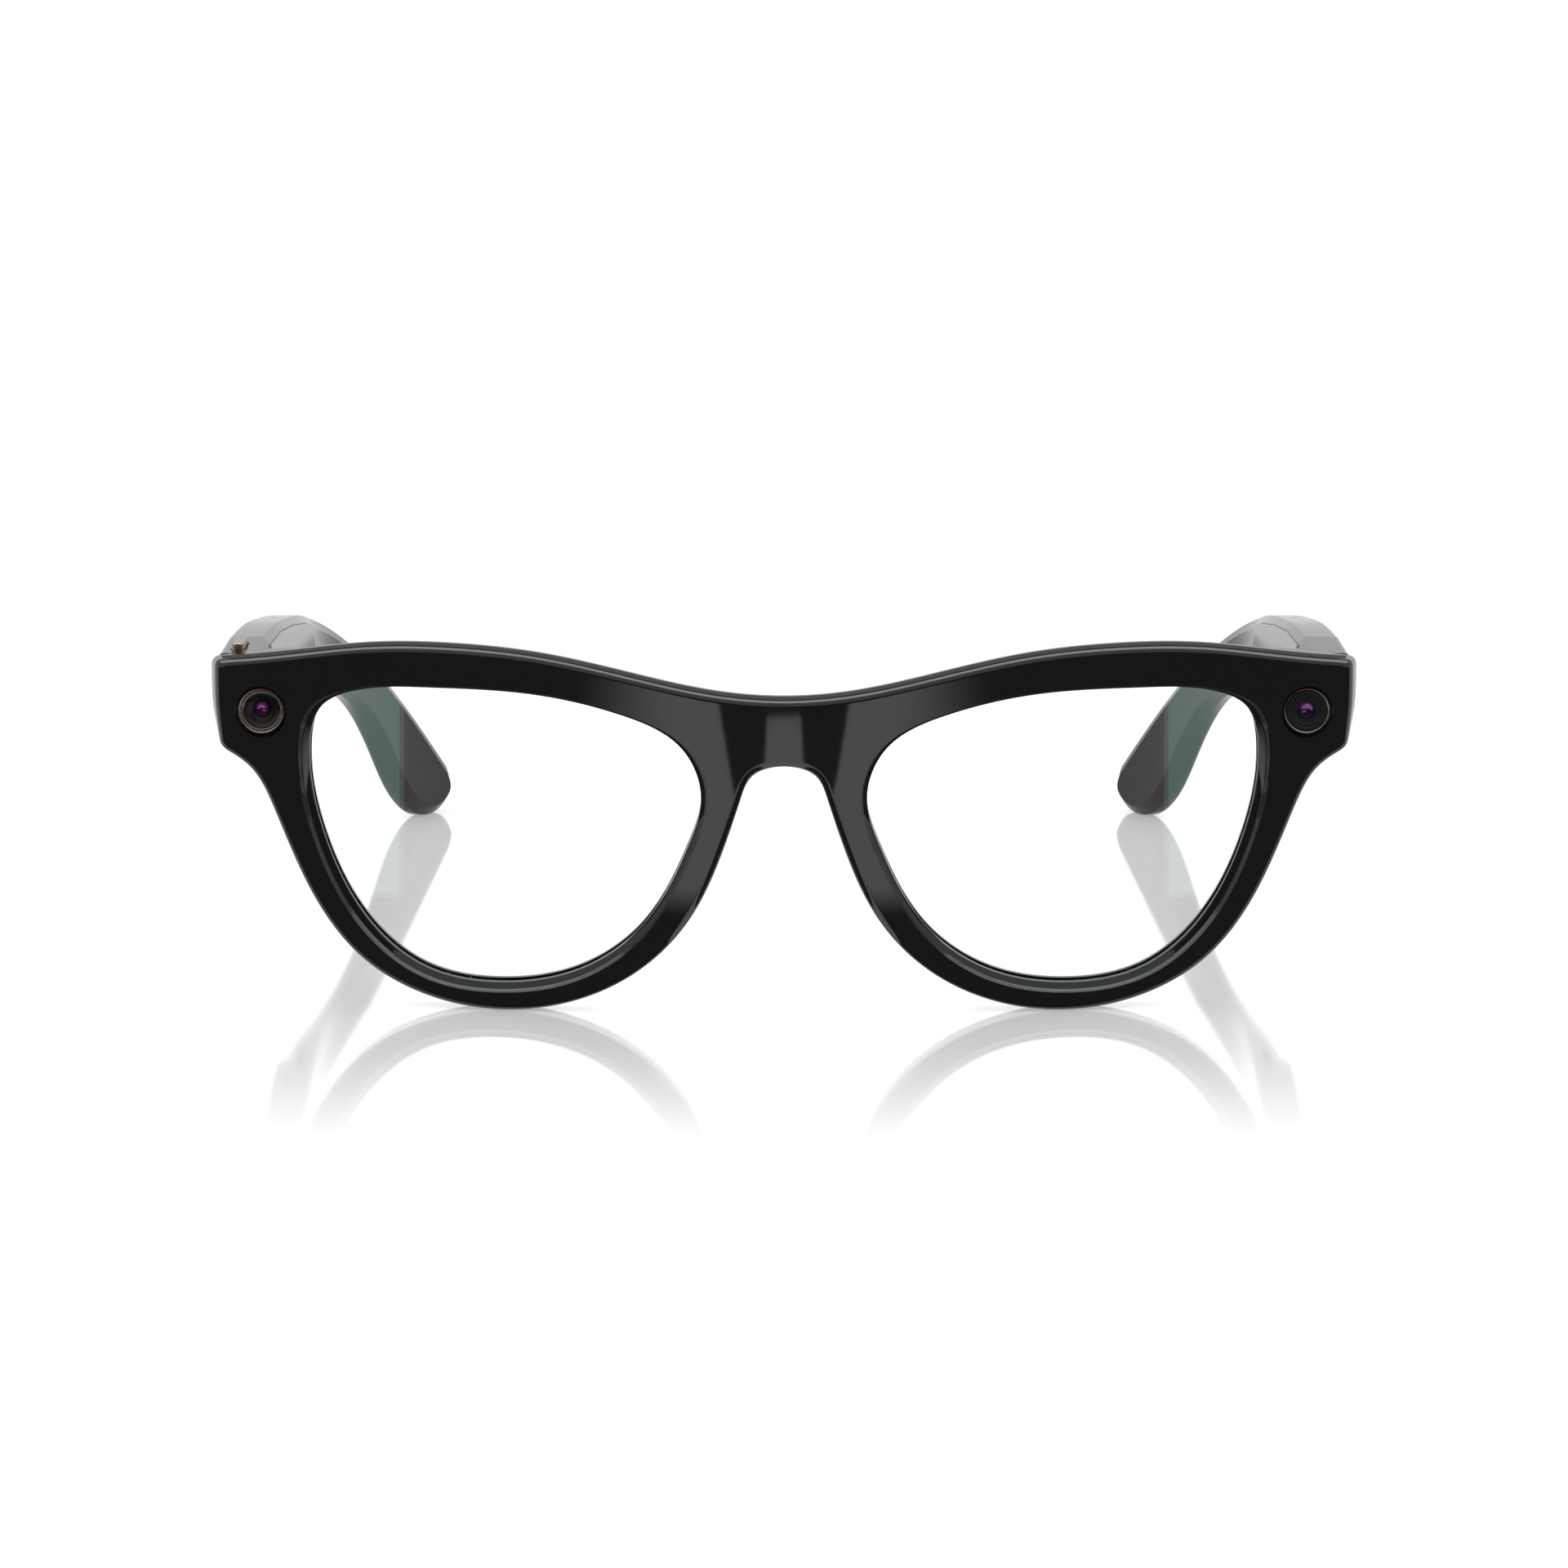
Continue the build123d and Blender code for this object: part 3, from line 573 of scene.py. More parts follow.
# ---------------------------------------------------------------- camera module
# A turned and lacquered bronze ring holds a black stepped barrel with a domed glass lens.
# It is pressed into the recess of the wearer's right end piece.


def turned(name, profile, x, z, count=96):
    """Closed piece turned about a line along Y. The profile is radius and Y, all the way round."""
    profile = np.array(profile, float)
    turn = np.arange(count) * 2 * math.pi / count
    corners = []
    for radius, y in profile:
        corners += np.column_stack([
            x + radius * np.cos(turn), np.full(count, y), z + radius * np.sin(turn),
        ]).tolist()
    faces = []
    for row in range(len(profile)):
        here, there = row * count, (row + 1) % len(profile) * count
        if profile[row][0] == 0 and profile[(row + 1) % len(profile)][0] == 0:
            continue
        for i in range(count):
            after = (i + 1) % count
            faces.append([here + i, here + after, there + after, there + i])
    return new_piece(name, corners, faces, 28)


def rounded(outer, inner, front_y, back_y, radius):
    """Profile of a ring whose two front edges are rounded."""
    profile = []
    for turn in np.radians(np.arange(0, 91, 18)):
        profile.append((outer - radius + radius * math.cos(turn), front_y + radius - radius * math.sin(turn)))
    for turn in np.radians(np.arange(90, 181, 18)):
        profile.append((inner + radius + radius * math.cos(turn), front_y + radius - radius * math.sin(turn)))
    return profile + [(inner, back_y), (outer, back_y)]


RING_FRONT = RECESS_FLOOR - 0.4
camera_ring = turned(
    "camera_ring",
    rounded(3.0, 2.7, RING_FRONT, RECESS_FLOOR, 0.15)[:-2]
    + [(2.7, -66.64), (2.49, -66.64), (2.49, -66.86), (2.46, -66.93), (2.4, -66.96), (2.34, -66.93), (2.32, -66.86)]
    + [(2.32, RECESS_FLOOR), (3.0, RECESS_FLOOR)],
    -MODULE_X, MODULE_Z,
)
BAFFLES = (
    (2.02, -66.6), (1.82, -66.5), (1.8, -66.2), (1.6, -66.15), (1.58, -65.85), (1.36, -65.8),
    (1.34, -65.55),
)
camera_barrel = turned(
    "camera_barrel_stepped",
    [(2.2, -66.86), (2.12, -66.86), (2.06, -66.82)] + list(BAFFLES)
    + [(1.03, -65.4), (1.03, -64.45), (2.28, -64.45), (2.28, -66.8)],
    -MODULE_X, MODULE_Z,
)


def dome(radius, sphere, centre_y, back_y):
    """Profile of a domed glass, from the middle of its face to the middle of its back."""
    spots = [(radius * k / 8, centre_y - math.sqrt(sphere ** 2 - (radius * k / 8) ** 2)) for k in range(9)]
    return spots + [(radius, back_y), (0, back_y)]


camera_glass = turned("camera_glass", dome(1.0, 1.3, -64.75, -64.6), -MODULE_X, MODULE_Z)

# Lacquered bronze: warm grey-brown metal, satin, with fine turning marks.
turned_bronze = solid_finish(
    "lacquered turned bronze", "#a4948a", 0.27, 0.12, 0.001, metallic=1.0, shade=0.08,
)
# Anodised black aluminium: near black and matt, so that no stray light reaches the lens.
black_anodised = solid_finish(
    "black anodised aluminium", "#0c0c0d", 0.38, 0.15, 0.001, metallic=0.0, shade=0.1,
)


def glass_with_painted_reflection(name, high, middle, low, height, reach):
    """Dark lens glass with a painted reflection: its base colour changes from top to bottom to stand in for
    mirrored light.
    """
    material, tree = blank(name)
    place = add(tree, "ShaderNodeTexCoord")
    spot = add(tree, "ShaderNodeSeparateXYZ", links={0: place.outputs["Object"]})
    level = add(
        tree, "ShaderNodeMapRange", {"From Min": (height - reach) * MM, "From Max": (height + reach) * MM},
        {"Value": spot.outputs["Z"]},
    )
    ramp_node = add(tree, "ShaderNodeValToRGB", links={0: level.outputs["Result"]})
    ramp_node.color_ramp.elements[0].color = tint(low)
    ramp_node.color_ramp.elements[1].color = tint(high)
    ramp_node.color_ramp.elements.new(0.5).color = tint(middle)
    shader = add(
        tree, "ShaderNodeBsdfPrincipled",
        {"Roughness": 0.03, "IOR": 1.7, "Coat Weight": 1.0, "Coat Roughness": 0.02, "Metallic": 0.35},
        {"Base Color": ramp_node.outputs["Color"]},
    )
    add(tree, "ShaderNodeOutputMaterial", links={"Surface": shader.outputs["BSDF"]})
    return material


# Painted reflection: the camera glass is magenta at the top, dark purple in the middle and brown below.
lens_glass = glass_with_painted_reflection("optical glass with painted magenta reflection", "#8a2f86", "#2a0d33", "#3a2622", MODULE_Z, 1.0)
dress(camera_ring, turned_bronze, "front", "bronze_metal", "camera_bezel")
dress(camera_barrel, black_anodised, "front", "module_black", "camera_barrel")
dress(camera_glass, lens_glass, "front", "optic_glass", "camera_lens")

# ---------------------------------------------------------------- indicator module
# The other end piece has the recording light: a thinner ring, a black disc with turned steps and a
# small domed light lens. It is pressed in like the camera.
light_ring = turned(
    "light_ring", rounded(3.0, 2.7, RING_FRONT, RECESS_FLOOR, 0.14), MODULE_X, MODULE_Z,
)
light_disc = turned(
    "light_disc_stepped",
    [(2.66, -66.82), (2.62, -66.88), (2.2, -66.88), (2.14, -66.84), (2.1, -66.7), (1.7, -66.7), (1.64, -66.66),
     (1.6, -66.5), (1.2, -66.5), (1.13, -66.44), (1.13, -64.45), (2.3, -64.45), (2.3, -66.55), (2.66, -66.55)],
    MODULE_X, MODULE_Z,
)
light_glass = turned("light_glass", dome(1.1, 1.4, -65.4, -64.6), MODULE_X, MODULE_Z)
# Painted reflection: the light lens is purple at the top, near black in the middle and dark grey-purple below.
light_lens = glass_with_painted_reflection("light lens with painted purple reflection", "#7a2a86", "#1b1026", "#2a2030", MODULE_Z, 1.1)
dress(light_ring, turned_bronze, "front", "bronze_metal", "indicator_bezel")
dress(light_disc, black_anodised, "front", "module_black", "indicator_disc")
dress(light_glass, light_lens, "front", "optic_glass", "indicator_lens")

# ---------------------------------------------------------------- temples
# Each temple is an injection-moulded shell, polished black outside, that holds the battery or the
# main board. It is deep at the front, bends down behind the ear and ends in a rounded tip.
REST_Y = -73.4               # the rims touch the floor here; depths are measured from it
TEMPLE_INNER, TEMPLE_OUTER = 68.0, 73.8
FRONT_END = 12.3
TOP_EDGE = [
    (27, 45.0), (46.5, 43.9), (67, 41.7), (89, 38.8), (105, 35.9), (116, 33.0), (127, 27.6), (139, 17.9),
    (148.7, 6.5),
]
LOW_EDGE = [
    (148.7, 6.5), (149.2, 3.0), (147.0, 0.5), (143.2, 0.05), (139.4, 2.4), (132.6, 11.9),
    (126.5, 18.6), (118, 22.6), (103, 24.6), (88, 26.6), (63, 30.7), (30, 33.0),
]
OUTER_PLAN = [
    (30, TEMPLE_OUTER), (60, TEMPLE_OUTER), (78, TEMPLE_OUTER), (90, 73.5), (102, 72.4), (116, 69.8),
    (127, 66.0),
    (139, 60.3), (150, 53.6),
]
INNER_PLAN = [
    (60, TEMPLE_INNER), (85, TEMPLE_INNER), (100, TEMPLE_INNER), (116, 66.1), (127, 62.3), (139, 56.6),
    (150, 49.8),
]
outer_plan = smooth_line(OUTER_PLAN, 1.0)
inner_plan = smooth_line(INNER_PLAN, 1.0)


def outer_x(depth):
    """Distance of the temple's outer face from the middle."""
    return np.minimum(np.interp(depth, outer_plan[:, 0], outer_plan[:, 1]), TEMPLE_OUTER)


def inner_x(depth):
    """Distance of the temple's inner face from the middle."""
    return np.minimum(np.interp(depth, inner_plan[:, 0], inner_plan[:, 1]), TEMPLE_INNER)


def beside(x_at, side, way):
    """Side face of a temple, looking away from the head (1) or towards it (-1)."""
    def surface(spots):
        depth = spots[:, 1] - REST_Y
        lean = (x_at(depth + 0.5) - x_at(depth - 0.5))
        true = np.column_stack([np.full(len(depth), side), -lean, 0 * depth]) * way
        return side * spots[:, 0] - x_at(depth), true / np.linalg.norm(true, axis=1)[:, None]
    return surface


def straight(start, end, spacing):
    """Points on a straight line, without its end."""
    start, end = np.array(start, float), np.array(end, float)
    steps = max(1, round(np.linalg.norm(end - start) / spacing))
    return start + (end - start) * (np.arange(steps) / steps)[:, None]


top_line = smooth_line(TOP_EDGE, 1.0)
low_line = smooth_line(LOW_EDGE, 0.8)
profile = np.vstack([
    straight((FRONT_END, 45.0), TOP_EDGE[0], 1.0), top_line[:-1], low_line[:-1],
    straight(LOW_EDGE[-1], (FRONT_END, 33.2), 1.0), straight((FRONT_END, 33.2), (FRONT_END, 45.0), 1.0),
])
profile_out = outward(profile)
is_top = ramp(profile_out[:, 1], 0.0, 0.5)
is_low = ramp(-profile_out[:, 1], 0.0, 0.5)
is_end = ramp(-profile_out[:, 0], 0.8, 0.95) * (profile[:, 0] < 20)
depths = profile[:, 0]
slim = ramp(depths, 89.5, 91.5)                   # the compartment ends here in a step under the temple
tip = ramp(depths, 112, 132)
round_in = 0.9 + is_low * slim * (1 - tip) * 2.6 + tip * 0.7
round_deep = 0.9 + is_low * slim * (1 - tip) * 3.2 + tip * 0.75
round_in = round_in * (1 - is_end) + 0.25 * is_end
round_deep = round_deep * (1 - is_end) + 0.25 * is_end
bevel_in = (0.5 + is_top * 1.0) * (1 - is_end) + 0.2 * is_end + tip * (1 - is_top) * 0.8
bevel_deep = (0.5 + is_top * 0.6) * (1 - is_end) + 0.2 * is_end + tip * (1 - is_top) * 0.6
INNER_BEVEL = ((0.0, 1.1), (0.02, 1.0), (0.98, 0.04), (1.1, 0.0))


def temple_row(inset, x_at, lean, side):
    """Row of points of the temple, moved in from its side view and in from one of its faces."""
    moved = profile - profile_out * inset[:, None]
    return np.column_stack([side * (x_at(moved[:, 0]) + lean), moved[:, 0] + REST_Y, moved[:, 1]])


CAVITY = [
    (27, 43.4), (46.5, 42.4), (67, 40.2), (89, 37.2), (99, 35.4),
    (99, 26.8), (88, 28.2), (63, 32.2), (46, 33.9), (27, 34.4),
]
cavity = np.array(CAVITY) + (REST_Y, 0)


def grown_cavity(amount):
    """Outline of the space inside a temple, moved out."""
    ahead = np.roll(cavity, -1, 0) - cavity
    ahead = ahead / np.linalg.norm(ahead, axis=1)[:, None]
    away = np.stack([-ahead[:, 1], ahead[:, 0]], 1)
    before = np.roll(away, 1, 0)
    mitre = (away + before) / (1 + np.sum(away * before, 1))[:, None]
    return cavity + mitre * amount


MIC_X, MIC_TOP, MIC_LOW = 71.0, 66.0, 80.0
PORT = (86.0, 94.0)
BUTTON_X, BUTTON_START, BUTTON_LENGTH, BUTTON_WIDTH = 71.4, 14.6, 7.4, 1.7
button_low, button_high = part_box("capture_button")


def pill(x0, x1, y0, y1, radius, steps=6):
    """Rectangle with round corners."""
    spots = []
    for cx, cy, first in ((x1, y1, 0), (x0, y1, 90), (x0, y0, 180), (x1, y0, 270)):
        ox = cx - radius if cx == x1 else cx + radius
        oy = cy - radius if cy == y1 else cy + radius
        for turn in np.radians(first + np.arange(steps + 1) * 90 / steps):
            spots.append((ox + radius * math.cos(turn), oy + radius * math.sin(turn)))
    return np.array(spots)


# Polished moulded nylon: black like the front, a touch softer in its gloss.
polished_nylon = solid_finish(
    "polished black moulded nylon", "#141414", 0.06, 3.0, 0.0006, IOR=1.5, shade=0.05,
)

for side, hand in ((1, "left"), (-1, "right")):
    rows = []
    for turn in np.radians(np.arange(0, 91, 15)):
        rows.append(
            temple_row(round_in * (1 - math.sin(turn)), outer_x, -round_deep * (1 - math.cos(turn)), side),
        )
    for wide, deep in INNER_BEVEL:
        rows.append(temple_row(bevel_in * wide, inner_x, bevel_deep * deep, side))
    temple = sheet_piece(
        f"temple_{hand}_moulded", [rows],
        lambda p: np.column_stack([side * outer_x(p[:, 0] - REST_Y), p]),
        lambda p: np.column_stack([side * inner_x(p[:, 0] - REST_Y), p]),
        [1, 2], 2.0,
    )
    outside = [
        prism(grown_cavity(0.5), 0, TEMPLE_INNER - 1, TEMPLE_INNER + 1.0),
        prism(ring_loop((MIC_X, MIC_TOP + REST_Y), 0.7), 2, 38, 46),
        prism(ring_loop((MIC_X, MIC_LOW + REST_Y), 0.6), 2, 22, 31),
        block(69.5, 70.7, PORT[0] + REST_Y, PORT[1] + REST_Y, 22, 29),
    ]
    inside = [prism(cavity, 0, TEMPLE_INNER + 0.5, 71.1)]
    if hand == "right":
        mouth = pill(
            BUTTON_X - BUTTON_WIDTH / 2 - 0.15, BUTTON_X + BUTTON_WIDTH / 2 + 0.15,
            BUTTON_START + REST_Y - 0.15, BUTTON_START + BUTTON_LENGTH + REST_Y + 0.15, 0.9,
        )
        outside.append(prism(mouth, 2, 43, 47))
        inside.append(block(
            70.0, 72.8, BUTTON_START + REST_Y - 0.9, BUTTON_START + BUTTON_LENGTH + REST_Y + 0.9, 41, 44,
        ))
    if side < 0:
        outside = [(spots * (-1, 1, 1), faces) for spots, faces in outside]
        inside = [(spots * (-1, 1, 1), faces) for spots, faces in inside]
    work(temple, outside)
    work(temple, inside)
    settle_normals(temple, [beside(outer_x, side, 1), beside(inner_x, side, -1)])
    dress(temple, polished_nylon, f"{hand}_temple", "temple_black", f"temple_shell_{hand}")

# ---------------------------------------------------------------- capture button
# A small milled bronze bar with rounded corners, lacquered like the camera ring. It stands in a
# close slot on top of the right temple and is pressed down with a fingertip.
button_top = button_high.z / MM
button_rows = []
button_loop = pill(
    -BUTTON_X - BUTTON_WIDTH / 2, -BUTTON_X + BUTTON_WIDTH / 2,
    BUTTON_START + REST_Y, BUTTON_START + BUTTON_LENGTH + REST_Y, 0.8, 8,
)
button_out = outward(button_loop)
for turn in np.radians(np.arange(0, 91, 18)):
    inset = 0.22 * (1 - math.sin(turn))
    level = button_top - 0.22 * (1 - math.cos(turn))
    moved = button_loop - button_out * inset
    button_rows.append(np.column_stack([moved, np.full(len(moved), level)]))
button_rows.append(np.column_stack([button_loop, np.full(len(button_loop), button_low.z / MM)]))
button = sheet_piece(
    "button_milled", [button_rows],
    lambda p: np.column_stack([p, np.full(len(p), button_top)]),
    lambda p: np.column_stack([p, np.full(len(p), button_low.z / MM)]), [0, 1], 0.6,
)
settle_normals(button, [])
dress(button, turned_bronze, "button", "bronze_metal", "capture_button")

# ---------------------------------------------------------------- screws
# Small countersunk stainless screws, cold headed, slotted and rolled: two in each hinge leaf, three
# in each temple cover and two in each plate behind a module. All come from one tree.


def tree_with(name, inputs):
    """Geometry tree with named inputs and starting values, its input node and its output node."""
    tree = bpy.data.node_groups.new(name, "GeometryNodeTree")
    tree.interface.new_socket("Geometry", in_out="INPUT", socket_type="NodeSocketGeometry")
    tree.interface.new_socket("Geometry", in_out="OUTPUT", socket_type="NodeSocketGeometry")
    for socket_name, kind, value in inputs:
        socket = tree.interface.new_socket(socket_name, in_out="INPUT", socket_type=kind)
        if value is not None:
            socket.default_value = value
    return tree, tree.nodes.new("NodeGroupInput"), tree.nodes.new("NodeGroupOutput")


def grown(name, points, tree, inputs):
    """Runs a tree on points in millimetres and keeps what it makes as a plain mesh."""
    mesh = bpy.data.meshes.new(name)
    mesh.from_pydata((np.array(points) * MM).tolist(), [], [])
    piece = bpy.data.objects.new(name, mesh)
    bpy.context.scene.collection.objects.link(piece)
    step = piece.modifiers.new("tree", "NODES")
    step.node_group = tree
    for socket in tree.interface.items_tree:
        if socket.in_out == "INPUT" and socket.name in inputs:
            step[socket.identifier] = inputs[socket.name]
    apply_modifiers(piece)
    piece.data.set_sharp_from_angle(angle=math.radians(30))
    return piece


# Stainless steel: bright neutral grey, satin from rolling.
stainless = solid_finish("rolled stainless steel", "#b9b7b3", 0.26, 0.08, 0.001, metallic=1.0, shade=0.08)

screw_tree, given, gives = tree_with("countersunk_screw", [
    ("Head Radius", "NodeSocketFloat", 0.85 * MM), ("Head Height", "NodeSocketFloat", 0.4 * MM),
    ("Shank Radius", "NodeSocketFloat", 0.42 * MM), ("Length", "NodeSocketFloat", 3.2 * MM),
    ("Slot Width", "NodeSocketFloat", 0.2 * MM), ("Turn", "NodeSocketRotation", None),
    ("Steel", "NodeSocketMaterial", None),
])
head = add(screw_tree, "GeometryNodeMeshCone", {"Vertices": 32}, {
    "Radius Top": given.outputs["Shank Radius"], "Radius Bottom": given.outputs["Head Radius"],
    "Depth": given.outputs["Head Height"],
})
shank = add(screw_tree, "GeometryNodeMeshCone", {"Vertices": 24}, {
    "Radius Top": given.outputs["Shank Radius"], "Radius Bottom": given.outputs["Shank Radius"],
    "Depth": given.outputs["Length"],
})
both = add(screw_tree, "GeometryNodeMeshBoolean", operation="UNION")
screw_tree.links.new(shank.outputs["Mesh"], both.inputs["Mesh 2"])
screw_tree.links.new(head.outputs["Mesh"], both.inputs["Mesh 2"])
across = add(screw_tree, "ShaderNodeMath", {1: 3.0}, {0: given.outputs["Head Radius"]}, operation="MULTIPLY")
slot_size = add(screw_tree, "ShaderNodeCombineXYZ", links={
    "X": across.outputs[0], "Y": given.outputs["Slot Width"], "Z": given.outputs["Head Height"],
})
slot_bar = add(screw_tree, "GeometryNodeMeshCube", links={"Size": slot_size.outputs[0]})
sink = add(screw_tree, "ShaderNodeMath", {1: -0.12}, {0: given.outputs["Head Height"]}, operation="MULTIPLY")
sunk = add(screw_tree, "ShaderNodeCombineXYZ", links={"Z": sink.outputs[0]})
slot_place = add(
    screw_tree, "GeometryNodeTransform",
    links={"Geometry": slot_bar.outputs["Mesh"], "Translation": sunk.outputs[0]},
)
slotted = add(
    screw_tree, "GeometryNodeMeshBoolean", links={"Mesh 1": both.outputs["Mesh"]}, operation="DIFFERENCE",
)
screw_tree.links.new(slot_place.outputs["Geometry"], slotted.inputs["Mesh 2"])
on_points = add(screw_tree, "GeometryNodeInstanceOnPoints", links={
    "Points": given.outputs["Geometry"], "Instance": slotted.outputs["Mesh"],
    "Rotation": given.outputs["Turn"],
})
real = add(screw_tree, "GeometryNodeRealizeInstances", links={"Geometry": on_points.outputs["Instances"]})
painted = add(screw_tree, "GeometryNodeSetMaterial", links={
    "Geometry": real.outputs["Geometry"], "Material": given.outputs["Steel"],
})
screw_tree.links.new(painted.outputs["Geometry"], gives.inputs["Geometry"])

INTO_TEMPLE = {"left": (0, math.radians(90), 0), "right": (0, math.radians(-90), 0)}
LEAF_SCREWS = [(18.4, 36.9), (23.2, 39.4)]
COVER_SCREWS = [(30.0, 38.78), (71.8, 35.26), (97.4, 31.34)]
PLATE_SCREWS = [(72.4, 35.7), (72.4, 42.8)]
for side, hand in ((1, "left"), (-1, "right")):
    for what, spots, head_x, length in (
        ("hinge_screws", LEAF_SCREWS, 67.0, 3.2), ("cover_screws", COVER_SCREWS, TEMPLE_INNER, 2.8),
    ):
        points = [(side * head_x, depth + REST_Y, z) for depth, z in spots]
        made = grown(f"{what}_{hand}_steel", points, screw_tree, {
            "Turn": INTO_TEMPLE[hand], "Steel": stainless, "Length": length * MM,
        })
        dress(made, stainless, f"{hand}_temple", "screw_steel", f"{what}_{hand}")
points = [(side * x, -61.42, z) for side in (1, -1) for x, z in PLATE_SCREWS]
plate_screws = grown("plate_screws_steel", points, screw_tree, {
    "Turn": (math.radians(90), 0, 0), "Steel": stainless, "Head Radius": 0.7 * MM, "Length": 3.2 * MM,
})
dress(plate_screws, stainless, "front", "screw_steel", "endpiece_screws")

# ---------------------------------------------------------------- hinges
# Five-barrel hinges of milled nickel silver on a slotted pin. The front leaf is pressed into the
# end piece and the temple leaf is screwed to the shell. One tree turns the barrels.
HINGE_X, HINGE_Y = 66.3, -59.95
KNUCKLE_LOW, KNUCKLE_HEIGHT, KNUCKLE_GAP = 35.0, 1.6, 0.06
LEAF_THICK = 1.0
BODY_SHARE = 0.86            # part of a barrel's height between its chamfers
barrel_tree, given, gives = tree_with("hinge_barrels", [
    ("Radius", "NodeSocketFloat", 1.3 * MM),
    ("Height", "NodeSocketFloat", (KNUCKLE_HEIGHT - KNUCKLE_GAP) * MM),
    ("Edge", "NodeSocketFloat", 0.12 * MM), ("Metal", "NodeSocketMaterial", None),
])
# Each barrel is a short bar with a chamfer at both ends.
body_height = add(
    barrel_tree, "ShaderNodeMath", {1: BODY_SHARE}, {0: given.outputs["Height"]}, operation="MULTIPLY",
)
middle = add(barrel_tree, "GeometryNodeMeshCone", {"Vertices": 48}, {
    "Radius Top": given.outputs["Radius"], "Radius Bottom": given.outputs["Radius"],
    "Depth": body_height.outputs[0],
})
slimmer = add(
    barrel_tree, "ShaderNodeMath", links={0: given.outputs["Radius"], 1: given.outputs["Edge"]},
    operation="SUBTRACT",
)
core = add(barrel_tree, "GeometryNodeMeshCone", {"Vertices": 48}, {
    "Radius Top": slimmer.outputs[0], "Radius Bottom": slimmer.outputs[0], "Depth": given.outputs["Height"],
})
half_body = add(
    barrel_tree, "ShaderNodeMath", {1: (1 - BODY_SHARE) / 2}, {0: given.outputs["Height"]},
    operation="MULTIPLY",
)
core_place = add(barrel_tree, "ShaderNodeCombineXYZ", links={"Z": half_body.outputs[0]})
raised = add(
    barrel_tree, "GeometryNodeTransform",
    links={"Geometry": middle.outputs["Mesh"], "Translation": core_place.outputs[0]},
)
barrel = add(barrel_tree, "GeometryNodeMeshBoolean", operation="UNION")
barrel_tree.links.new(raised.outputs["Geometry"], barrel.inputs["Mesh 2"])
barrel_tree.links.new(core.outputs["Mesh"], barrel.inputs["Mesh 2"])
on_points = add(barrel_tree, "GeometryNodeInstanceOnPoints", links={
    "Points": given.outputs["Geometry"], "Instance": barrel.outputs["Mesh"],
})
real = add(barrel_tree, "GeometryNodeRealizeInstances", links={"Geometry": on_points.outputs["Instances"]})
painted = add(barrel_tree, "GeometryNodeSetMaterial", links={
    "Geometry": real.outputs["Geometry"], "Material": given.outputs["Metal"],
})
barrel_tree.links.new(painted.outputs["Geometry"], gives.inputs["Geometry"])

# Nickel silver: slightly warm white metal, satin from milling.
nickel_silver = solid_finish("milled nickel silver", "#a8a39a", 0.22, 0.1, 0.001, metallic=1.0, shade=0.08)


def leaf(name, x0, x1, y0, y1, round_back):
    """Flat milled leaf with a small chamfer, its far corners rounded if asked."""
    corner = 1.5 if round_back else 0.15
    side = -1 if x0 < 0 else 1
    spots = pill(y0, y1, 35.05, 42.95, corner)
    if round_back:
        near = spots[:, 0] < (y0 + y1) / 2
        low_near, high_near = (y0, 35.05), (y0, 42.95)
        spots = np.vstack(
            [spots[~near & (spots[:, 1] > 39)], [high_near, low_near], spots[~near & (spots[:, 1] < 39)]],
        )
    away = outward(spots)
    rows = []
    for inset, x in ((0.1, x1), (0.0, x1 - side * 0.1), (0.0, x0 + side * 0.1), (0.1, x0)):
        moved = spots - away * inset
        rows.append(np.column_stack([np.full(len(moved), x), moved]))
    return sheet_piece(
        name, [rows], lambda p: np.column_stack([np.full(len(p), x1), p]),
        lambda p: np.column_stack([np.full(len(p), x0), p]), [1, 2], 0.8,
    )


def joined(piece, others):
    """Joins other pieces into the first one's mesh."""
    shape = bmesh.new()
    shape.from_mesh(piece.data)
    for other in others:
        shape.from_mesh(other.data)
        bpy.data.objects.remove(other)
    shape.to_mesh(piece.data)
    shape.free()
    piece.data.set_sharp_from_angle(angle=math.radians(30))
    return piece


for side, hand in ((1, "left"), (-1, "right")):
    for kind, levels, body in (("front", (1, 3), "front"), ("temple", (0, 2, 4), f"{hand}_temple")):
        points = [
            (side * HINGE_X, HINGE_Y, KNUCKLE_LOW + level * KNUCKLE_HEIGHT + KNUCKLE_GAP / 2)
            for level in levels
        ]
        barrels = grown(f"hinge_{kind}_{hand}_milled", points, barrel_tree, {"Metal": nickel_silver})
        webs = []
        for level in levels:
            low = KNUCKLE_LOW + level * KNUCKLE_HEIGHT + KNUCKLE_GAP / 2
            high = low + KNUCKLE_HEIGHT - KNUCKLE_GAP
            if kind == "front":
                webs.append(
                    block(side * LEAF_X, side * (LEAF_X + LEAF_THICK), HINGE_Y - 1.6, HINGE_Y, low, high),
                )
            else:
                webs.append(
                    block(side * (HINGE_X + 0.3), side * (HINGE_X + 1.3), HINGE_Y, HINGE_Y + 1.8, low, high),
                )
        if kind == "front":
            flat = leaf("leaf", side * LEAF_X, side * (LEAF_X + LEAF_THICK), -64.2, HINGE_Y - 1.55, False)
        else:
            flat = leaf("leaf", side * 67.0, side * TEMPLE_INNER, 14.9 + REST_Y, 25.4 + REST_Y, True)
            work(flat, [
                prism(ring_loop((depth + REST_Y, z), 0.86, 32), 0, side * 66.5, side * 67.42)
                for depth, z in LEAF_SCREWS
            ])
        web_pieces = [new_piece("web", *web) for web in webs]
        dress(
            joined(barrels, [flat] + web_pieces), nickel_silver, body, "hinge_steel",
            f"hinge_{kind}_{hand}",
        )

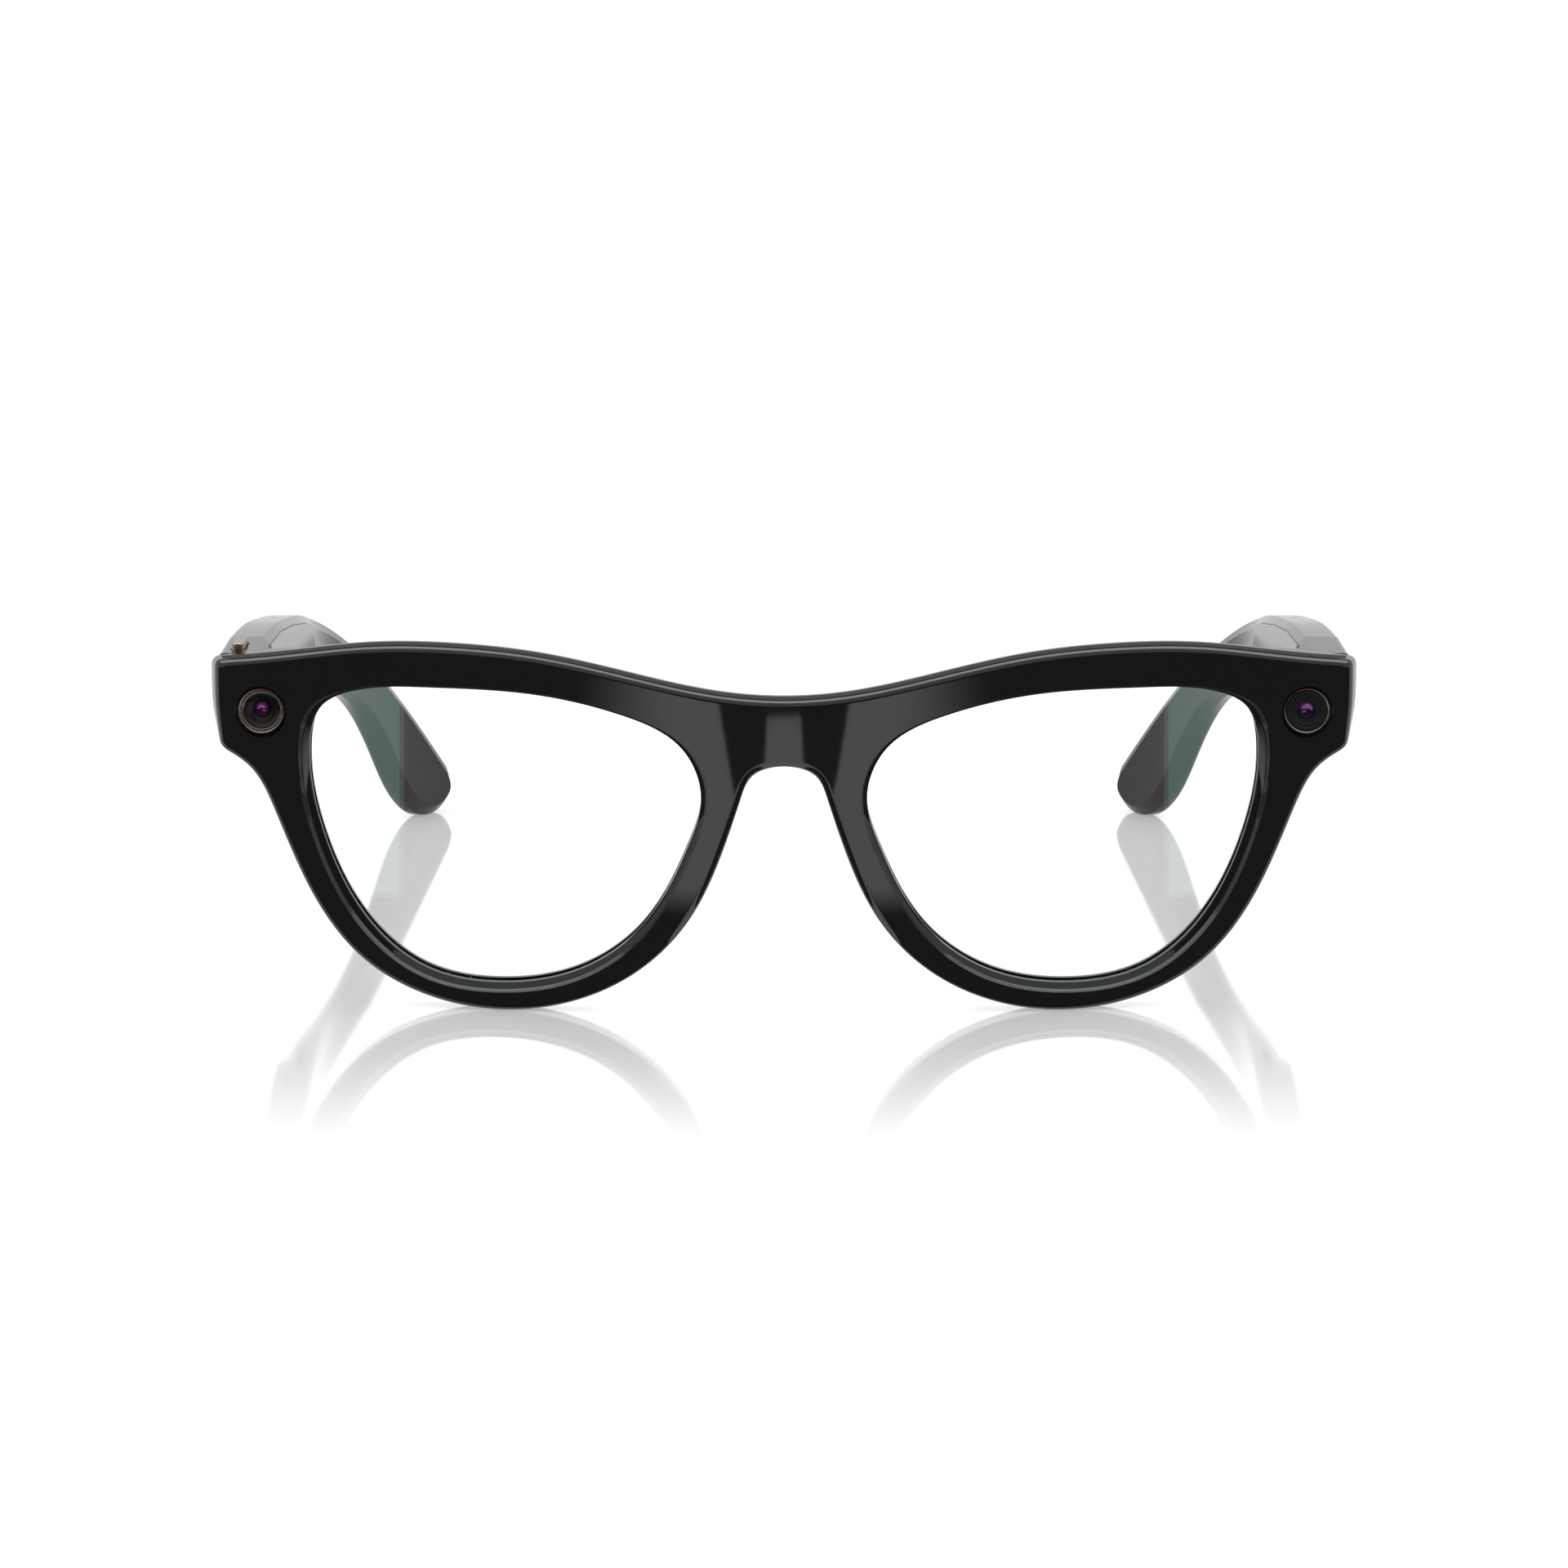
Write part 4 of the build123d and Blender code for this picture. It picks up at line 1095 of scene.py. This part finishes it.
# ---------------------------------------------------------------- speaker grilles
# An etched stainless strip with a row of sound holes, glued into the port under each temple.
grille_tree, given, gives = tree_with("etched_grille", [
    ("Hole Radius", "NodeSocketFloat", 0.25 * MM), ("Holes", "NodeSocketInt", 9),
    ("Pitch", "NodeSocketFloat", 0.8 * MM),
    ("First Hole", "NodeSocketVector", (0, 0, 0)), ("Size", "NodeSocketVector", (0, 0, 0)),
    ("Centre", "NodeSocketVector", (0, 0, 0)), ("Steel", "NodeSocketMaterial", None),
])
strip_bar = add(grille_tree, "GeometryNodeMeshCube", links={"Size": given.outputs["Size"]})
strip_place = add(grille_tree, "GeometryNodeTransform", links={
    "Geometry": strip_bar.outputs["Mesh"], "Translation": given.outputs["Centre"],
})
pitch = add(grille_tree, "ShaderNodeCombineXYZ", links={"Y": given.outputs["Pitch"]})
row_of_holes = add(grille_tree, "GeometryNodeMeshLine", links={
    "Count": given.outputs["Holes"], "Start Location": given.outputs["First Hole"],
    "Offset": pitch.outputs[0],
})
drill = add(grille_tree, "GeometryNodeMeshCylinder", {"Vertices": 24, "Depth": 2 * MM}, {
    "Radius": given.outputs["Hole Radius"],
})
drilled = add(grille_tree, "GeometryNodeInstanceOnPoints", links={
    "Points": row_of_holes.outputs["Mesh"], "Instance": drill.outputs["Mesh"],
})
etched = add(
    grille_tree, "GeometryNodeMeshBoolean", links={"Mesh 1": strip_place.outputs["Geometry"]},
    operation="DIFFERENCE",
)
grille_tree.links.new(drilled.outputs["Instances"], etched.inputs["Mesh 2"])
real = add(grille_tree, "GeometryNodeRealizeInstances", links={"Geometry": etched.outputs["Mesh"]})
painted = add(grille_tree, "GeometryNodeSetMaterial", links={
    "Geometry": real.outputs["Geometry"], "Material": given.outputs["Steel"],
})
grille_tree.links.new(painted.outputs["Geometry"], gives.inputs["Geometry"])

# Etched stainless with a black oxide coat: dark, slightly metallic.
black_steel = solid_finish(
    "black oxidised stainless steel", "#2a2a2c", 0.35, 0.1, 0.001, metallic=0.9, shade=0.1,
)
for side, hand in ((1, "left"), (-1, "right")):
    low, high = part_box(f"speaker_grille_{hand}")
    grille = grown(f"grille_{hand}_etched", [(0, 0, 0)], grille_tree, {
        "Size": tuple(high - low), "Centre": tuple((low + high) / 2), "Steel": black_steel,
        "First Hole": (side * 70.1 * MM, low.y + 0.78 * MM, (low.z + high.z) / 2),
    })
    dress(grille, black_steel, f"{hand}_temple", "grille_steel", f"speaker_grille_{hand}")

# ---------------------------------------------------------------- covers, strips and plates
# Flat mouldings of black nylon close the back of the front and the inside of each temple. They
# are moulded like the shells, with a slightly softer gloss.
cover_nylon = solid_finish("satin black nylon cover", "#151516", 0.12, 1.2, 0.001, IOR=1.5, shade=0.06)
brow_strip_nylon = solid_finish("satin black nylon strip", "#151515", 0.3, 0.5, 0.003, IOR=1.5, shade=0.06)
# Rubber-like slider cap: matt charcoal that shows no gloss.
slider_rubber = solid_finish("matt charcoal elastomer", "#2b2b2c", 0.6, 0.3, 0.004, shade=0.06)


def keep(material, *names):
    """Gives CAD nodes that are shown as they are their material."""
    for name in names:
        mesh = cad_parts[name].data
        mesh.materials.clear()
        mesh.materials.append(material)


keep(cover_nylon, "temple_cover_left", "temple_cover_right", "contact_block")
keep(brow_strip_nylon, "brow_strip_left", "brow_strip_right", "endpiece_plate_left", "endpiece_plate_right")
keep(slider_rubber, "power_slider")
keep(stainless, "hinge_pin_left", "hinge_pin_right")

# ---------------------------------------------------------------- contacts and electronics
# Gold-plated charging contacts show behind the bridge. Boards, battery, microphones, speakers and
# the flat cable in the brow sit inside the shells and are kept as the CAD has them.
# Gold plating: warm bright metal, nearly polished.
gold_plate = solid_finish("hard gold plating", "#e0b45c", 0.18, 0.08, 0.0006, metallic=1.0, shade=0.04)
# Solder-masked board: dark green lacquer, half gloss.
board_lacquer = solid_finish("green solder-masked board", "#12361f", 0.3, 0.4, 0.002, shade=0.15)
# Polyimide flat cable: translucent amber-brown film, satin.
amber_film = solid_finish("amber polyimide cable", "#8a4b16", 0.32, 0.6, 0.001, shade=0.1)
# Tinned steel cans and cell foil: dull silver.
tinned_steel = solid_finish("tinned steel can", "#b4b6b8", 0.34, 0.2, 0.001, metallic=1.0, shade=0.08)
# Speaker housing: plain matt black moulding.
speaker_nylon = solid_finish("matt black speaker housing", "#18181a", 0.5, 0.3, 0.003, shade=0.08)
keep(gold_plate, "charging_contacts")
keep(board_lacquer, "camera_board", "indicator_board", "power_board", "main_board")
keep(amber_film, "brow_flex", "touch_sensor", "antenna")
keep(
    tinned_steel, "shield_can", "microphones_left", "microphones_right", "battery", "button_switch",
    "power_switch", "bridge_microphone",
)
keep(speaker_nylon, "speaker_left", "speaker_right")

# ---------------------------------------------------------------- studio
# A white sweep and a white room, with a long soft light overhead. A black flag in front and a grey one
# behind the brow, seen only in reflections, keep the gloss deep; gaps in the first put sheen on the bridge.
world = bpy.data.worlds.new("white room")
world.use_nodes = True
world.node_tree.nodes["Background"].inputs["Color"].default_value = (1, 1, 1, 1)
ROOM_SEEN, ROOM_MIRRORED = 1.25, 0.78
kind_of_ray = add(world.node_tree, "ShaderNodeLightPath")
brightness = add(
    world.node_tree, "ShaderNodeMapRange", {"To Min": ROOM_SEEN, "To Max": ROOM_MIRRORED},
    {"Value": kind_of_ray.outputs["Is Glossy Ray"]},
)
world.node_tree.links.new(
    brightness.outputs["Result"], world.node_tree.nodes["Background"].inputs["Strength"],
)
bpy.context.scene.world = world
bpy.context.scene.view_settings.view_transform = "Standard"


def stage_sheet(name, spots, material):
    """Flat four-cornered sheet of the studio, in millimetres."""
    made = new_piece(name, spots, [[0, 1, 2, 3]])
    made.data.materials.append(material)
    return made


def reflection_only(card):
    """Makes a studio sheet that is seen only in glossy surfaces."""
    card.visible_camera = False
    card.visible_diffuse = False
    card.visible_transmission = False
    card.visible_shadow = False


def glow(name, strength, colour="#ffffff"):
    """Plain glowing or black card."""
    material, tree = blank(name)
    lamp = add(tree, "ShaderNodeEmission", {"Color": tint(colour), "Strength": strength})
    add(tree, "ShaderNodeOutputMaterial", links={"Surface": lamp.outputs["Emission"]})
    return material


sweep, tree = blank("white lacquered sweep")
place = add(tree, "ShaderNodeTexCoord")
spot = add(tree, "ShaderNodeSeparateXYZ", links={0: place.outputs["Object"]})
near = add(
    tree, "ShaderNodeMapRange", {"From Min": -0.185, "From Max": -0.088, "To Min": 0.0, "To Max": 0.46},
    {"Value": spot.outputs["Y"]}, interpolation_type="SMOOTHSTEP",
)
painted_white = add(tree, "ShaderNodeBsdfDiffuse", {"Color": (0.96, 0.96, 0.96, 1)})
lit = add(tree, "ShaderNodeEmission", {"Strength": 1.3})
even = add(
    tree, "ShaderNodeMixShader", {0: 0.7}, {1: lit.outputs["Emission"], 2: painted_white.outputs["BSDF"]},
)
# The gloss is stronger than the mirrored room is dim, so that the floor stays white all over.
lacquer = add(tree, "ShaderNodeBsdfGlossy", {"Color": (1.6, 1.6, 1.6, 1), "Roughness": 0.06})
floor_mix = add(
    tree, "ShaderNodeMixShader",
    links={0: near.outputs["Result"], 1: even.outputs["Shader"], 2: lacquer.outputs["BSDF"]},
)
add(tree, "ShaderNodeOutputMaterial", links={"Surface": floor_mix.outputs["Shader"]})
floor = stage_sheet("floor", [(-3000, -1500, 0), (3000, -1500, 0), (3000, 3000, 0), (-3000, 3000, 0)], sweep)
floor.visible_glossy = False

# The front flag lies just under the floor: black, with the pale gaps that the bridge mirrors.
flag_black = glow("black flag", 0.0)
BRIDGE_GLOW = 1.45
patched, tree = blank("flag with pale gaps")
place = add(tree, "ShaderNodeTexCoord")
spot = add(tree, "ShaderNodeSeparateXYZ", links={0: place.outputs["Object"]})
away = add(tree, "ShaderNodeMath", links={0: spot.outputs["X"]}, operation="ABSOLUTE")
mid_patch = add(
    tree, "ShaderNodeMapRange", {"From Min": 0.0064, "From Max": 0.0071, "To Min": 1.0, "To Max": 0.0},
    {"Value": away.outputs[0]},
)
mid_start = add(
    tree, "ShaderNodeMapRange", {"From Min": -0.330, "From Max": -0.325}, {"Value": spot.outputs["Y"]},
)
mid_only = add(
    tree, "ShaderNodeMath", links={0: mid_patch.outputs[0], 1: mid_start.outputs[0]}, operation="MULTIPLY",
)
slant = add(
    tree, "ShaderNodeMapRange", {"From Min": -0.236, "From Max": -0.311, "To Min": 0.0135, "To Max": 0.023},
    {"Value": spot.outputs["Y"]}, clamp=False,
)
past = add(tree, "ShaderNodeMath", links={0: away.outputs[0], 1: slant.outputs[0]}, operation="SUBTRACT")
side_start = add(
    tree, "ShaderNodeMapRange", {"From Min": 0.0, "From Max": 0.0006}, {"Value": past.outputs[0]},
)
side_fade = add(
    tree, "ShaderNodeMapRange", {"From Min": 0.015, "From Max": 0.065, "To Min": 1.0, "To Max": 0.0},
    {"Value": past.outputs[0]}, interpolation_type="SMOOTHSTEP",
)
side_near = add(
    tree, "ShaderNodeMapRange", {"From Min": -0.150, "From Max": -0.175}, {"Value": spot.outputs["Y"]},
    interpolation_type="SMOOTHSTEP",
)
side_glow = add(
    tree, "ShaderNodeMath", links={0: side_start.outputs[0], 1: side_fade.outputs[0]}, operation="MULTIPLY",
)
side_only = add(
    tree, "ShaderNodeMath", links={0: side_glow.outputs[0], 1: side_near.outputs[0]}, operation="MULTIPLY",
)
total = add(tree, "ShaderNodeMath", links={0: mid_only.outputs[0], 1: side_only.outputs[0]}, operation="ADD")
strength = add(tree, "ShaderNodeMath", {1: BRIDGE_GLOW}, {0: total.outputs[0]}, operation="MULTIPLY")
lamp = add(tree, "ShaderNodeEmission", links={"Strength": strength.outputs[0]})
add(tree, "ShaderNodeOutputMaterial", links={"Surface": lamp.outputs["Emission"]})
reflection_only(stage_sheet(
    "front_flag", [(-1500, -1500, -2), (1500, -1500, -2), (1500, -74, -2), (-1500, -74, -2)],
    patched,
))
reflection_only(stage_sheet(
    "front_wall", [(-1500, -1500, -2), (1500, -1500, -2), (1500, -1500, 500), (-1500, -1500, 500)],
    flag_black,
))
brow_line = smooth_line(BROW, 2.0, start=(1, 0), end=AT_TOP_CORNER)
brow_line = np.vstack([(brow_line * (-1, 1))[:0:-1], brow_line])
flag_low = [(x, wrap_y(x, FRONT_THICK) + 0.4, z + 0.25) for x, z in brow_line]
flag_high = [(x, wrap_y(x, FRONT_THICK) + 0.4, z + 8.0) for x, z in brow_line]
flag_count = len(flag_low)
brow_flag = new_piece(
    "brow_flag", flag_low + flag_high,
    [[i, i + 1, i + 1 + flag_count, i + flag_count] for i in range(flag_count - 1)],
)
brow_flag.data.materials.append(glow("grey flag", 0.16))
reflection_only(brow_flag)
reflection_only(stage_sheet(
    "top_light", [(-500, -190, 400), (500, -190, 400), (500, 60, 400), (-500, 60, 400)],
    glow("overhead light", 4.5),
))
only_lenses = bpy.data.collections.new("lenses lit by the side cards")
for lens in lenses:
    only_lenses.objects.link(lens)
for side in (1, -1):
    card = stage_sheet(
        f"side_card_{side}",
        [(side * 82, -140, -1), (side * 162, -320, -1), (side * 270, -320, -1), (side * 170, -140, -1)],
        glow("pale side card", 1.0),
    )
    reflection_only(card)
    card.light_linking.receiver_collection = only_lenses

# ---------------------------------------------------------------- camera
# One plain long lens, a little above the bridge, square on to the face.
camera_data = bpy.data.cameras.new("camera")
camera_data.lens = 139.15
camera_data.sensor_width = 36.0
camera_data.clip_end = 20.0
camera = bpy.data.objects.new("camera", camera_data)
camera.location = (0, -0.84177, 0.16402)
camera.rotation_euler = (math.radians(90 - 9.9046), 0, 0)
bpy.context.scene.collection.objects.link(camera)
bpy.context.scene.camera = camera
